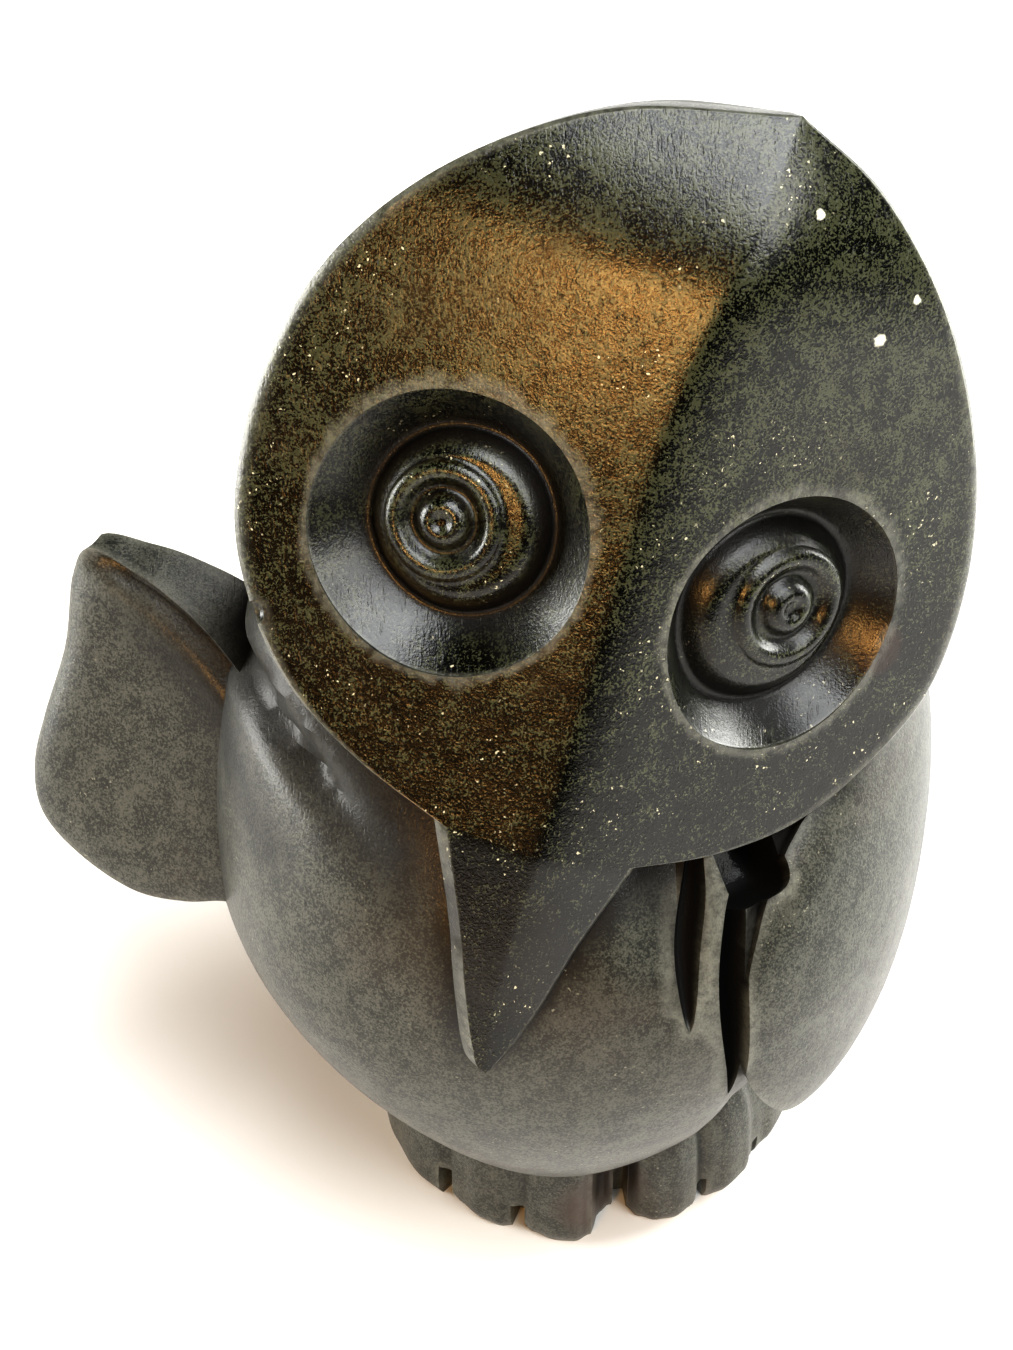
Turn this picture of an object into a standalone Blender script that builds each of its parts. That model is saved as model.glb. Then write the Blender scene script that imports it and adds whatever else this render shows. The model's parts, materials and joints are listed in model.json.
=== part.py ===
"""A small owl carved from one block of dark soapstone.

The bird stands on its feet and faces -Y. Its big shield-shaped face leans back and tilts to the bird's left,
the beak lies on the belly, the wing on -X is held out and the wing on +X is folded. Everything is one solid.
Metres, +Z up, with the origin in the middle of the feet's flat underside.
"""

import collections
import math

import bmesh
import bpy
from mathutils import Matrix, Vector

Skin = collections.namedtuple(
    "Skin",
    "across half_width front back setback widest below above width_fullness front_fullness back_fullness",
)

# The egg of the body. A fullness is (below, above) the widest height: under 1 is broad shouldered, over 1 tapers.
BODY = Skin(
    across=-0.0040,
    half_width=0.0343,
    front=0.0359,
    back=0.0345,
    setback=0.0,
    widest=0.0412,
    below=0.0338,
    above=0.0400,
    width_fullness=(1.90, 0.50),
    front_fullness=(0.75, 2.00),
    back_fullness=(1.0, 0.85),
)

# The head: how it stands on the belly and how it is turned
BEAK_TIP_BEARING = math.radians(-10.9)
BEAK_TIP_HEIGHT = 0.0458
BEAK_PROUD = 0.0029
HEAD_TILT = math.radians(19.1)
HEAD_LEAN = math.radians(24.5)
HEAD_LENGTH = 0.0904

# The face's edge as (up the face, across it), in shares of the head's length. Minus is the -X side.
BEAK_EDGE_LEFT = ((0.0, 0.0), (0.012, -0.024), (0.075, -0.054), (0.153, -0.085), (0.246, -0.127))
BEAK_EDGE_RIGHT = ((0.0, 0.0), (0.015, 0.011), (0.075, 0.032), (0.157, 0.050), (0.252, 0.078))
FACE_EDGE_LEFT = (
    (0.246, -0.127), (0.275, -0.208), (0.321, -0.290), (0.390, -0.350), (0.480, -0.388),
    (0.606, -0.397), (0.740, -0.368), (0.858, -0.292), (0.952, -0.165), (1.0, 0.0),
)
FACE_EDGE_RIGHT = (
    (0.252, 0.078), (0.273, 0.169), (0.313, 0.251), (0.379, 0.312), (0.470, 0.356),
    (0.600, 0.349), (0.728, 0.299), (0.857, 0.206), (0.950, 0.103), (1.0, 0.0),
)
BEAK_SHARE_OF_ROWS = 1 / 3
FACE_SLOPE = math.tan(math.radians(20))
FACE_SWELL = 0.0030
RIDGE_LINE = (0.0, -0.0016, -0.0021, -0.0022, -0.0026, -0.0029, -0.0033, -0.0028, -0.0014, 0.0)
RIDGE_SOFT_LEFT = 0.0006
RIDGE_SOFT_RIGHT = 0.0040
RIDGE_HOLLOW = 0.0010
CROWN_ROLL_START = 0.80
CROWN_ROLL_DROP = 0.0060
HEAD_DEPTHS = (0.0035, 0.0075, 0.0120, 0.0240, 0.0310, 0.0325, 0.0290, 0.0185, 0.0080)
HEAD_SIDE_TAPER = 0.20

# The ringed eyes: places are shares of the head's length, inner is the size of the ring and disc against the socket,
# and the shifts are how far (across, up) those two stand off the socket's middle
Eye = collections.namedtuple("Eye", "name up across size inner disc_shift ring_shift")
EYES = (
    Eye("left", 0.526, -0.197, 0.921, 1.02, (0.0002, 0.0006), (-0.0010, 0.0006)),
    Eye("right", 0.523, 0.151, 0.885, 1.13, (-0.0001, 0.0003), (0.0009, 0.0013)),
)

# Each turn of an eye: (radius, depth, the part whose middle it turns about), from the middle outwards
EYE_PROFILE = (
    (0.0005, -0.0009, "ring"), (0.0013, -0.0003, "ring"), (0.0022, -0.0008, "ring"), (0.0028, -0.0019, "ring"),
    (0.0035, -0.0018, "ring"), (0.0044, -0.0007, "ring"), (0.0054, -0.0009, "ring"), (0.0059, -0.0017, "ring"),
    (0.0066, -0.0017, "disc"), (0.0076, -0.0024, "disc"), (0.0084, -0.0036, "disc"), (0.0088, -0.0042, "disc"),
    (0.0096, -0.0041, "disc"), (0.0138, -0.0004, "socket"), (0.0138, 0.0020, "socket"),
)
EYE_STEPS = 36

# The folded wing: a leaf on a skin of its own, with its outline as (bearing from the front in degrees, height)
FOLDED_SKIN = BODY._replace(
    half_width=BODY.half_width + 0.0033,
    front=BODY.front + 0.0021,
    back=BODY.back + 0.0016,
    setback=0.0080,
    below=0.0680,
    width_fullness=(1.08, BODY.width_fullness[1]),
    front_fullness=(1.0, BODY.front_fullness[1]),
)
FOLDED_OUTLINE = (
    (42.0, 0.0612), (38.4, 0.0603), (35.0, 0.0588), (32.0, 0.0566), (29.8, 0.0538), (28.0, 0.0502),
    (27.0, 0.0440), (28.7, 0.0376), (33.0, 0.0314), (38.4, 0.0268), (46.0, 0.0247), (56.0, 0.0248),
    (68.0, 0.0266), (82.0, 0.0308), (96.0, 0.0375), (103.0, 0.0470), (97.0, 0.0555), (78.0, 0.0610),
    (56.0, 0.0632),
)
FOLDED_MIDDLE = (62.0, 0.0450)
FOLDED_SINK = 0.0098
FOLDED_EDGE_ROUNDING = 0.0008

# Under the folded wing the egg of the body gives way to this one, from the first bearing on to the second
UNDER_WING = BODY._replace(
    half_width=BODY.half_width + 0.0002,
    front=BODY.front - 0.0007,
    setback=FOLDED_SKIN.setback,
)
UNDER_WING_START = (math.radians(28), math.radians(34))
UNDER_WING_END = (math.radians(120), math.radians(165))

# The raised wing: a slab that sweeps back and leans back from the shoulder. Its face is given as (outwards, up).
SHOULDER = Vector((-0.0363, -0.0075, 0.0510))
RAISED_SWEEP = math.radians(27)
RAISED_LEAN = math.radians(22)
RAISED_FACE = (
    (0.0180, 0.0202), (0.0136, 0.0196), (0.0099, 0.0186), (0.0046, 0.0162), (-0.0003, 0.0127), (-0.0060, 0.0078),
    (-0.0110, 0.0038), (-0.0100, -0.0050), (-0.0060, -0.0105), (-0.0011, -0.0117), (0.0031, -0.0134),
    (0.0087, -0.0144), (0.0153, -0.0128), (0.0200, -0.0098), (0.0216, -0.0051), (0.0212, 0.0007),
    (0.0199, 0.0090), (0.0200, 0.0166),
)
RAISED_MIDDLE = (0.0100, 0.0030)
RAISED_CREASE_FALL = 0.56
RAISED_THIN = 0.0020
RAISED_THICKENING = 0.36
RAISED_TOP_RISE = 0.42
RAISED_BACK_SHARE = 0.84
RAISED_EDGE_ROUNDING = 0.0010

RAISED_COVE_DEPTH = 0.0015
RAISED_COVE_LIP = 0.0010
RAISED_COVE_WIDTH = 0.0038
RAISED_COVE_FADE = (-0.0020, 0.0040)

# The short tail at the back
TAIL_HALF_WIDTH = 0.0135
TAIL_HALF_THICKNESS = 0.0060
TAIL_TOP = Vector((BODY.across, 0.0240, 0.0400))
TAIL_TIP = Vector((BODY.across, 0.0330, -0.0040))

# The feet are one block. Its outline on the ground is (bearing in degrees, reach) round from the back,
# and its sides are (height, share of the reach) from the ground up.
FEET_OUTLINE = (
    (-180, 0.0205), (-150, 0.0212), (-120, 0.0222), (-95, 0.0228), (-78, 0.0229), (-62, 0.0236), (-50, 0.0241),
    (-43, 0.0239), (-39.5, 0.0233), (-36, 0.0236), (-30, 0.0241), (-25, 0.0241), (-21, 0.0234), (-19, 0.0230),
    (-16, 0.0236), (-10, 0.0241), (-5, 0.0240), (-1, 0.0230), (1.5, 0.0202), (5, 0.0192), (10, 0.0196),
    (13, 0.0212), (18, 0.0222), (23, 0.0225), (28, 0.0220), (31.5, 0.0211), (35, 0.0218), (40, 0.0222),
    (47, 0.0220), (52, 0.0212), (57, 0.0212), (62, 0.0216), (75, 0.0218), (95, 0.0214), (120, 0.0208), (150, 0.0205),
    (180, 0.0205),
)
FEET_SIDES = ((-0.0020, 0.950), (0.0, 0.972), (0.0016, 1.0), (0.0055, 1.0), (0.0095, 0.985), (0.0130, 0.940),
              (0.0160, 0.840), (0.0185, 0.600))
FEET_CROWDING = 0.48
FEET_FACETS = (72, 9)
FEET_CUTS = (
    ("toe_slot_1", -41.0, 0.0014, 0.0206, 0.0052), ("toe_slot_2", -20.0, 0.0014, 0.0204, 0.0042),
    ("toe_slot_3", 31.5, 0.0013, 0.0192, 0.0036), ("toe_slot_4", 53.5, 0.0010, 0.0196, 0.0034),
    ("crack_between_feet", 8.0, 0.0015, 0.0168, 0.0115),
)
FEET_CUT_LENGTH = 0.0100

# The soft hollow that goes on from the raised wing's crease across the shoulder, as (bearing in degrees, height),
# and the dip in the breast beside the folded wing, between bearings and heights
SHOULDER_HOLLOW = (
    (-100.0, 0.0650), (-87.0, 0.0655), (-71.0, 0.0662), (-51.8, 0.0648), (-40.0, 0.0628), (-26.8, 0.0600),
)
SHOULDER_HOLLOW_WIDTHS = (0.0042, 0.0024)
SHOULDER_HOLLOW_DEPTH = 0.0018
BREAST_DIP_START = (math.radians(7), math.radians(19.5))
BREAST_DIP_END = (math.radians(20.5), math.radians(22))
BREAST_DIP_HEIGHTS = (0.0440, 0.0580)
BREAST_DIP_DEPTH = 0.0015

# Grooves in the breast beside the folded wing: (bearing in degrees, height) down each
BREAST_GROOVE = ((22.5, 0.0640), (21.5, 0.0590), (20.2, 0.0540), (20.2, 0.0465))
WING_GROOVE = ((31.5, 0.0620), (28.6, 0.0560), (27.5, 0.0480), (29.0, 0.0345))
BREAST_GROOVE_SIZE = (0.0026, 0.0036)
WING_GROOVE_SIZE = (0.0030, 0.0052)
ARMPIT_BEARING = math.radians(32.2)
ARMPIT_HEIGHT = 0.0602
ARMPIT_HALF_SIZES = Vector((0.0034, 0.0085, 0.0044))
ARMPIT_TURN = (math.radians(-48), math.radians(-4))

# Two small chips in the edge of the face: (up the face, across it), radius
RIM_CHIPS = ((0.378, -0.343, 0.0011), (0.330, 0.336, 0.0012))

# How finely each form is faceted: (segments round it, rows along it)
HEAD_FACETS = (52, 36)
BODY_FACETS = (48, 28)
FOLDED_FACETS = (40, 10)
RAISED_FACETS = (36, 12)
TAIL_FACETS = (16, 10)
GROOVE_FACETS = (6, 10)
ARMPIT_FACETS = (16, 10)
CHIP_FACETS = (8, 6)

STONE_COLOUR = (0.070, 0.072, 0.062, 1.0)
STONE_ROUGHNESS = 0.42
MERGE_DISTANCE = 0.00001
CUTTER_OVERSIZE = 0.1
SQUARENESS = 0.50


def clear_scene():
    for obj in list(bpy.data.objects):
        bpy.data.objects.remove(obj)


def new_collection(name):
    collection = bpy.data.collections.new(name)
    bpy.context.scene.collection.children.link(collection)
    return collection


def soapstone():
    material = bpy.data.materials.new("soapstone")
    material.use_nodes = True
    shader = material.node_tree.nodes["Principled BSDF"]
    shader.inputs["Base Color"].default_value = STONE_COLOUR
    shader.inputs["Roughness"].default_value = STONE_ROUGHNESS
    shader.inputs["Metallic"].default_value = 0.0
    return material


def spline(points, share):
    """The point at a share of the way along a smooth curve through the points."""
    spans = len(points) - 1
    place = min(max(share, 0.0), 1.0) * spans
    index = min(int(place), spans - 1)
    t = place - index
    start, end = Vector(points[index]), Vector(points[index + 1])
    before = Vector(points[index - 1]) if index > 0 else 2 * start - end
    after = Vector(points[index + 2]) if index + 2 <= spans else 2 * end - start
    return 0.5 * (
        2 * start
        + (end - before) * t
        + (2 * before - 5 * start + 4 * end - after) * t**2
        + (3 * start - before - 3 * end + after) * t**3
    )


def value_along(values, share):
    return spline([(value, 0.0) for value in values], share).x


def closed_spline(points, turn):
    """The point at a turn, in whole turns, round a smooth closed curve through the points."""
    count = len(points)
    place = (turn % 1.0) * count
    index = int(place) % count
    near = [points[(index + offset) % count] for offset in (-1, 0, 1, 2)]
    return spline(near, (1 + place - int(place)) / 3)


def carved_form(name, facets, place, collection):
    """A sphere primitive reshaped by place(along, around): along goes from 0 to 1 from the lower pole
    to the upper one, and around is the angle from the front, positive towards +X."""
    mesh = bpy.data.meshes.new(name)
    shape = bmesh.new()
    bmesh.ops.create_uvsphere(shape, u_segments=facets[0], v_segments=facets[1], radius=1.0)
    for vertex in shape.verts:
        along = math.acos(max(-1.0, min(1.0, -vertex.co.z))) / math.pi
        around = math.atan2(vertex.co.x, -vertex.co.y)
        vertex.co = place(along, around)
    bmesh.ops.triangulate(shape, faces=shape.faces)
    bmesh.ops.recalc_face_normals(shape, faces=shape.faces)
    shape.to_mesh(mesh)
    shape.free()
    obj = bpy.data.objects.new(name, mesh)
    collection.objects.link(obj)
    return obj


def block(name, size, collection):
    mesh = bpy.data.meshes.new(name)
    shape = bmesh.new()
    bmesh.ops.create_cube(shape, size=1.0, matrix=Matrix.Diagonal((*size, 1.0)))
    shape.to_mesh(mesh)
    shape.free()
    obj = bpy.data.objects.new(name, mesh)
    collection.objects.link(obj)
    return obj


def join_or_cut(obj, name, operation, collection):
    modifier = obj.modifiers.new(name, "BOOLEAN")
    modifier.operation = operation
    modifier.operand_type = "COLLECTION"
    modifier.collection = collection
    modifier.solver = "EXACT"


def make_helpers(collection):
    for obj in collection.objects:
        obj.hide_render = True
        obj.display_type = "WIRE"


def skin_point(skin, bearing, height):
    """A point on an egg at a bearing from the front and a height."""
    rise = height - skin.widest
    above = int(rise > 0)
    reach = (skin.below, skin.above)[above]
    narrowing = math.sqrt(max(0.0, 1.0 - (rise / reach) ** 2))
    half_width = skin.half_width * narrowing ** skin.width_fullness[above]
    if math.cos(bearing) > 0:
        depth = (skin.front + skin.setback) * narrowing ** skin.front_fullness[above]
    else:
        depth = (skin.back - skin.setback) * narrowing ** skin.back_fullness[above]
    return Vector((
        skin.across + half_width * math.sin(bearing),
        skin.setback * narrowing - depth * math.cos(bearing),
        height,
    ))


def gradual(value, limits):
    share = min(1.0, max(0.0, (value - limits[0]) / (limits[1] - limits[0])))
    return share * share * (3 - 2 * share)


def on_body(bearing, height):
    under = gradual(bearing, UNDER_WING_START) * (1 - gradual(bearing, UNDER_WING_END))
    return skin_point(BODY, bearing, height).lerp(skin_point(UNDER_WING, bearing, height), under)


def on_breast(bearing, height):
    return skin_point(BODY, bearing, height)


def on_folded_wing(bearing, height):
    return skin_point(FOLDED_SKIN, bearing, height)


def proud_point(surface, bearing, height, proud):
    """A point that stands this far out from a surface given by bearing and height."""
    step = 0.0001
    sideways = surface(bearing + step, height) - surface(bearing - step, height)
    upwards = surface(bearing, height + step) - surface(bearing, height - step)
    return surface(bearing, height) + sideways.cross(upwards).normalized() * proud


def sunk_along(path, spot, widths, depth):
    """How deep a soft hollow along a path is at a spot. Its widths are how far it reaches (down, up) from the path."""
    nearest = min(range(len(path)), key=lambda index: (path[index] - spot).length_squared)
    width = widths[int(spot.z > path[nearest].z)]
    away = (path[nearest] - spot).length / width
    if away >= 1.0:
        return 0.0
    fade = min(1.0, 3 * (1 - nearest / (len(path) - 1)))
    return depth * fade * (1 + math.cos(math.pi * away)) / 2


def body_egg(collection):
    steps = 36
    path = []
    for step in range(steps + 1):
        bearing, height = spline(SHOULDER_HOLLOW, step / steps)
        path.append(on_body(math.radians(bearing), height))

    def place(along, around):
        polar = (along - 0.5) * math.pi
        reach = BODY.below if polar < 0 else BODY.above
        height = BODY.widest + reach * math.sin(polar) * 0.99999
        spot = on_body(around, height)
        sunk = sunk_along(path, spot, SHOULDER_HOLLOW_WIDTHS, SHOULDER_HOLLOW_DEPTH)
        dip = gradual(around, BREAST_DIP_START) * (1 - gradual(around, BREAST_DIP_END))
        sunk += BREAST_DIP_DEPTH * dip * gradual(height, BREAST_DIP_HEIGHTS)
        return proud_point(on_body, around, height, -sunk) if sunk > 0 else spot

    return carved_form("soapstone_owl", BODY_FACETS, place, collection)


def head_frame():
    """Turns head sizes (across, minus outwards, up the face) into the bird's own space."""
    tip = proud_point(on_body, BEAK_TIP_BEARING, BEAK_TIP_HEIGHT, BEAK_PROUD)
    turned = (
        Matrix.Rotation(HEAD_TILT, 4, "Y")
        @ Matrix.Rotation(-HEAD_LEAN, 4, "X")
    )
    return Matrix.Translation(tip) @ turned


def ridge_across(up):
    return value_along(RIDGE_LINE, up / HEAD_LENGTH)


def face_out(up, across):
    """How far the face stands out at a place on it: two slopes from the ridge, rolled back at the crown."""
    side = across - ridge_across(up)
    soft = RIDGE_SOFT_RIGHT if side > 0 else RIDGE_SOFT_LEFT
    fall = FACE_SLOPE * (math.hypot(side, soft) - soft)
    widest = -FACE_EDGE_LEFT[5][1] * HEAD_LENGTH
    swell = FACE_SWELL * (1 - (side / widest) ** 2)
    share = up / HEAD_LENGTH
    hollow = RIDGE_HOLLOW * 4 * share * (1 - share)
    roll = max(0.0, (share - CROWN_ROLL_START) / (1 - CROWN_ROLL_START))
    growth = min(1.0, share / FACE_EDGE_LEFT[0][0])
    return (swell * growth - fall) - hollow - CROWN_ROLL_DROP * roll**2


def face_edges(along):
    """The face's left and right edge at a share of the way from the beak's tip to the crown."""
    if along < BEAK_SHARE_OF_ROWS:
        part = along / BEAK_SHARE_OF_ROWS
        edges = spline(BEAK_EDGE_LEFT, part), spline(BEAK_EDGE_RIGHT, part)
    else:
        part = (along - BEAK_SHARE_OF_ROWS) / (1 - BEAK_SHARE_OF_ROWS)
        edges = spline(FACE_EDGE_LEFT, part), spline(FACE_EDGE_RIGHT, part)
    return [edge * HEAD_LENGTH for edge in edges]


def head(frame, collection):
    def place(along, around):
        left, right = face_edges(along)
        ridge_up = (left.x + right.x) / 2
        ridge = Vector((ridge_up, ridge_across(ridge_up)))
        edge = right if around > 0 else left
        quarter = math.pi / 2
        share = abs(around) / quarter
        if share <= 1.0:
            spot = ridge.lerp(edge, share)
            return frame @ Vector((spot.y, -face_out(spot.x, spot.y), spot.x))
        turn = (share - 1.0) * quarter
        edge_out = face_out(edge.x, edge.y)
        spot = ridge.lerp(edge, math.cos(turn) * (1 - HEAD_SIDE_TAPER * math.sin(turn)))
        depth = value_along(HEAD_DEPTHS, along) * min(1.0, 2.4 * math.sin(math.pi * along) ** 0.5)
        return frame @ Vector((spot.y, depth * math.sin(turn) - edge_out, spot.x))

    return carved_form("head", HEAD_FACETS, place, collection)


def eye_frame(frame, up, across):
    """The middle of an eye on the face, with its Z axis square to the face there and its Y axis up."""
    step = 0.0100
    out = face_out(up, across)
    sideways = Vector((2 * step, face_out(up, across - step) - face_out(up, across + step), 0.0))
    upwards = Vector((0.0, face_out(up - step, across) - face_out(up + step, across), 2 * step))
    outward = sideways.cross(upwards).normalized()
    level = upwards.cross(outward).normalized()
    rotation = Matrix((level, outward.cross(level), outward)).transposed().to_4x4()
    return frame @ Matrix.Translation((across, -out, up)) @ rotation


def eye_cutter(eye, frame, collection):
    """What is taken out of the face to leave the rings of one eye."""
    middle, rim = EYE_PROFILE[0], EYE_PROFILE[-1]
    turns = ((0.0, middle[1], middle[2]),) + EYE_PROFILE + ((0.0, rim[1], rim[2]),)
    shifts = {"socket": (0.0, 0.0), "disc": eye.disc_shift, "ring": eye.ring_shift}

    def place(along, around):
        radius, depth, part = turns[round(along * (len(turns) - 1))]
        across, up = shifts[part]
        reach = radius * (1.0 if part == "socket" else eye.inner)
        return frame @ (eye.size * Vector((
            across + reach * math.sin(around),
            up - reach * math.cos(around),
            depth,
        )))

    return carved_form("eye_" + eye.name, (EYE_STEPS, len(turns) - 1), place, collection)


def leaf(name, facets, outline, place_on, collection):
    """A leaf-shaped slab. place_on(edge point, share out to the edge, share from the face to the back) sets its
    form: the upper half of the rows is the face, then come the edge and the back."""
    edge_rows = 2
    face_rows = (facets[1] - edge_rows) // 2
    back_rows = facets[1] - edge_rows - face_rows

    def place(along, around):
        row = round((1 - along) * facets[1])
        edge = closed_spline(outline, around / (2 * math.pi))
        if row <= face_rows:
            return place_on(edge, 1 - (1 - row / face_rows) ** 1.5, 0.0)
        if row <= face_rows + edge_rows:
            return place_on(edge, 1.0, (row - face_rows) / edge_rows)
        return place_on(edge, ((facets[1] - row) / back_rows) ** 0.7, 1.0)

    return carved_form(name, facets, place, collection)


def folded_wing(collection):
    middle = Vector(FOLDED_MIDDLE)

    def place_on(edge, out, back):
        spot = middle.lerp(edge, out * (1 - 0.10 * back))
        proud = -FOLDED_EDGE_ROUNDING * out**8 - FOLDED_SINK * back
        return proud_point(on_folded_wing, math.radians(spot.x), spot.y, proud)

    return leaf("folded_wing", FOLDED_FACETS, FOLDED_OUTLINE, place_on, collection)


def raised_frame():
    turned = Matrix.Rotation(-RAISED_SWEEP, 4, "Z") @ Matrix.Rotation(-RAISED_LEAN, 4, "X")
    return Matrix.Translation(SHOULDER) @ turned


def raised_wing(collection):
    frame = raised_frame()
    middle = Vector(RAISED_MIDDLE)
    corner = Vector(RAISED_FACE[0])

    def place_on(edge, out, back):
        crease = corner.y - RAISED_CREASE_FALL * (corner.x - edge.x)
        rounded = min(1.0, max(0.0, (crease - edge.y) / 0.004))
        spot = middle.lerp(edge, out * (1 - (1 - RAISED_BACK_SHARE) * back * rounded))
        depth = RAISED_THIN + RAISED_THICKENING * max(0.0, corner.x - spot.x)
        inset = RAISED_EDGE_ROUNDING * out**8 * rounded
        below = (edge - spot).length
        sunk = gradual(below, (0.0, RAISED_COVE_LIP)) * (1 - gradual(below, (RAISED_COVE_LIP, RAISED_COVE_WIDTH)))
        sunk *= (1 - back) * (1 - rounded) * gradual(corner.x - spot.x, RAISED_COVE_FADE)
        inset_front = inset + RAISED_COVE_DEPTH * sunk
        rise = RAISED_TOP_RISE * depth * back * out * (1 - rounded)
        return frame @ Vector((-spot.x, inset_front + (depth - 2 * inset) * back, spot.y + rise))

    return leaf("raised_wing", RAISED_FACETS, RAISED_FACE, place_on, collection)


def tail(collection):
    run = TAIL_TIP - TAIL_TOP
    thickness_way = Vector((0.0, run.z, -run.y)).normalized()

    def place(along, around):
        middle = TAIL_TIP.lerp(TAIL_TOP, along)
        girth = math.sin(math.pi * along) ** 0.35
        across = Vector((1, 0, 0)) * TAIL_HALF_WIDTH * math.sin(around) * girth
        return middle + across + thickness_way * TAIL_HALF_THICKNESS * math.cos(around) * girth

    return carved_form("tail", TAIL_FACETS, place, collection)


def feet(collection):
    """Both feet as one block: the outline on the ground, drawn in again towards the top."""

    def place(along, around):
        bearing = math.degrees(around - FEET_CROWDING * math.sin(around))
        after = next(i for i in range(1, len(FEET_OUTLINE)) if bearing <= FEET_OUTLINE[i][0] + 1e-6)
        before, behind = FEET_OUTLINE[after - 1], FEET_OUTLINE[after]
        reach = before[1] + (behind[1] - before[1]) * gradual(bearing, (before[0], behind[0]))
        if along in (0.0, 1.0):
            return Vector((0.0, 0.0, FEET_SIDES[int(along) * -1][0]))
        height, share = FEET_SIDES[round(along * FEET_FACETS[1]) - 1]
        reach *= share
        turn = math.radians(bearing)
        return Vector((reach * math.sin(turn), -reach * math.cos(turn), height))

    return carved_form("feet", FEET_FACETS, place, collection)


def upright_cut(name, bearing, width, nearest, height, collection):
    """An upright block that cuts into the feet from outside, to as near the middle as it says."""
    cut = block(name, (width, FEET_CUT_LENGTH, height * 2), collection)
    place = Matrix.Translation((0, -nearest - FEET_CUT_LENGTH / 2, 0))
    cut.matrix_world = Matrix.Rotation(math.radians(bearing), 4, "Z") @ place
    return cut


def groove_cutter(name, path, size, collection):
    """A thin spindle along a line on the body: it cuts a groove that fades out at both ends."""
    half_width, depth = size[0] / 2, size[1]

    def place(along, around):
        spot = spline(path, 1 - along)
        girth = math.sin(math.pi * along) ** 0.6
        turn = math.asin(half_width * girth * math.sin(around) / BODY.half_width)
        return proud_point(on_breast, math.radians(spot.x) + turn, spot.y, depth * girth * math.cos(around))

    return carved_form(name, GROOVE_FACETS, place, collection)


def squared(value):
    return math.copysign(abs(value) ** SQUARENESS, value)


def pocket(name, middle, turn, half_sizes, collection):
    """A block with rounded corners, turned by angles about (X, Y) and then to face a bearing about Z."""
    turned = Matrix.Rotation(turn[2], 3, "Z") @ Matrix.Rotation(turn[1], 3, "Y") @ Matrix.Rotation(turn[0], 3, "X")

    def place(along, around):
        polar = (along - 0.5) * math.pi
        flat = squared(math.cos(polar))
        spot = Vector((flat * squared(math.sin(around)), -flat * squared(math.cos(around)), squared(math.sin(polar))))
        return middle + turned @ (spot * half_sizes)

    return carved_form(name, ARMPIT_FACETS, place, collection)


def ball(name, middle, radius, facets, collection):
    def place(along, around):
        polar = (along - 0.5) * math.pi
        flat = math.cos(polar)
        return middle + radius * Vector((flat * math.sin(around), -flat * math.cos(around), math.sin(polar)))

    return carved_form(name, facets, place, collection)


def main():
    clear_scene()
    owl = new_collection("Soapstone owl carving")
    breast_cuts = new_collection("Breast cuts")
    eye_cuts = new_collection("Eye cuts")
    forms = new_collection("Forms joined to the body")
    heads = new_collection("Head joined last")
    ground_cuts = new_collection("Ground and toe cuts")

    groove_cutter("breast_groove", BREAST_GROOVE, BREAST_GROOVE_SIZE, breast_cuts)
    groove_cutter("wing_groove", WING_GROOVE, WING_GROOVE_SIZE, breast_cuts)
    armpit = on_breast(ARMPIT_BEARING, ARMPIT_HEIGHT)
    pocket("armpit", armpit, (*ARMPIT_TURN, ARMPIT_BEARING), ARMPIT_HALF_SIZES, breast_cuts)

    frame = head_frame()
    for eye in EYES:
        eye_cutter(eye, eye_frame(frame, eye.up * HEAD_LENGTH, eye.across * HEAD_LENGTH), eye_cuts)
    for number, (up, across, radius) in enumerate(RIM_CHIPS, 1):
        spot = Vector((across * HEAD_LENGTH, -face_out(up * HEAD_LENGTH, across * HEAD_LENGTH), up * HEAD_LENGTH))
        ball(f"rim_chip_{number}", frame @ spot, radius, CHIP_FACETS, eye_cuts)
    join_or_cut(head(frame, heads), "carve eyes", "DIFFERENCE", eye_cuts)

    folded_wing(forms)
    raised_wing(forms)
    tail(forms)
    feet(forms)
    for name, bearing, width, nearest, height in FEET_CUTS:
        upright_cut(name, bearing, width, nearest, height, ground_cuts)
    ground = block("ground", (CUTTER_OVERSIZE * 2,) * 3, ground_cuts)
    ground.location.z = -CUTTER_OVERSIZE

    carving = body_egg(owl)
    join_or_cut(carving, "join forms", "UNION", forms)
    join_or_cut(carving, "carve breast", "DIFFERENCE", breast_cuts)
    join_or_cut(carving, "join head", "UNION", heads)
    join_or_cut(carving, "flatten underside", "DIFFERENCE", ground_cuts)
    carving.data.materials.append(soapstone())

    for helpers in (breast_cuts, eye_cuts, forms, heads, ground_cuts):
        make_helpers(helpers)


main()
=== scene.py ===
"""The looks of a small owl carved from dark soapstone: the fine surface, the polished stone, light and camera.

The carving is made again from the same sizes as its solid, far more finely, and then gets what the tools and the
polishing left on it: soft waves, pale edges that are partly wear and partly a painted highlight, specks in the
stone and brushed scratches. Its colour also carries painted shade in the hollows and creases, and painted glints.
Metres, +Z up, with the origin in the middle of the feet's flat underside. The bird faces -Y.
"""

import collections
import json
import math

import bmesh
import bpy
import numpy as np
from mathutils import Matrix, Vector
from mathutils.bvhtree import BVHTree

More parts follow.
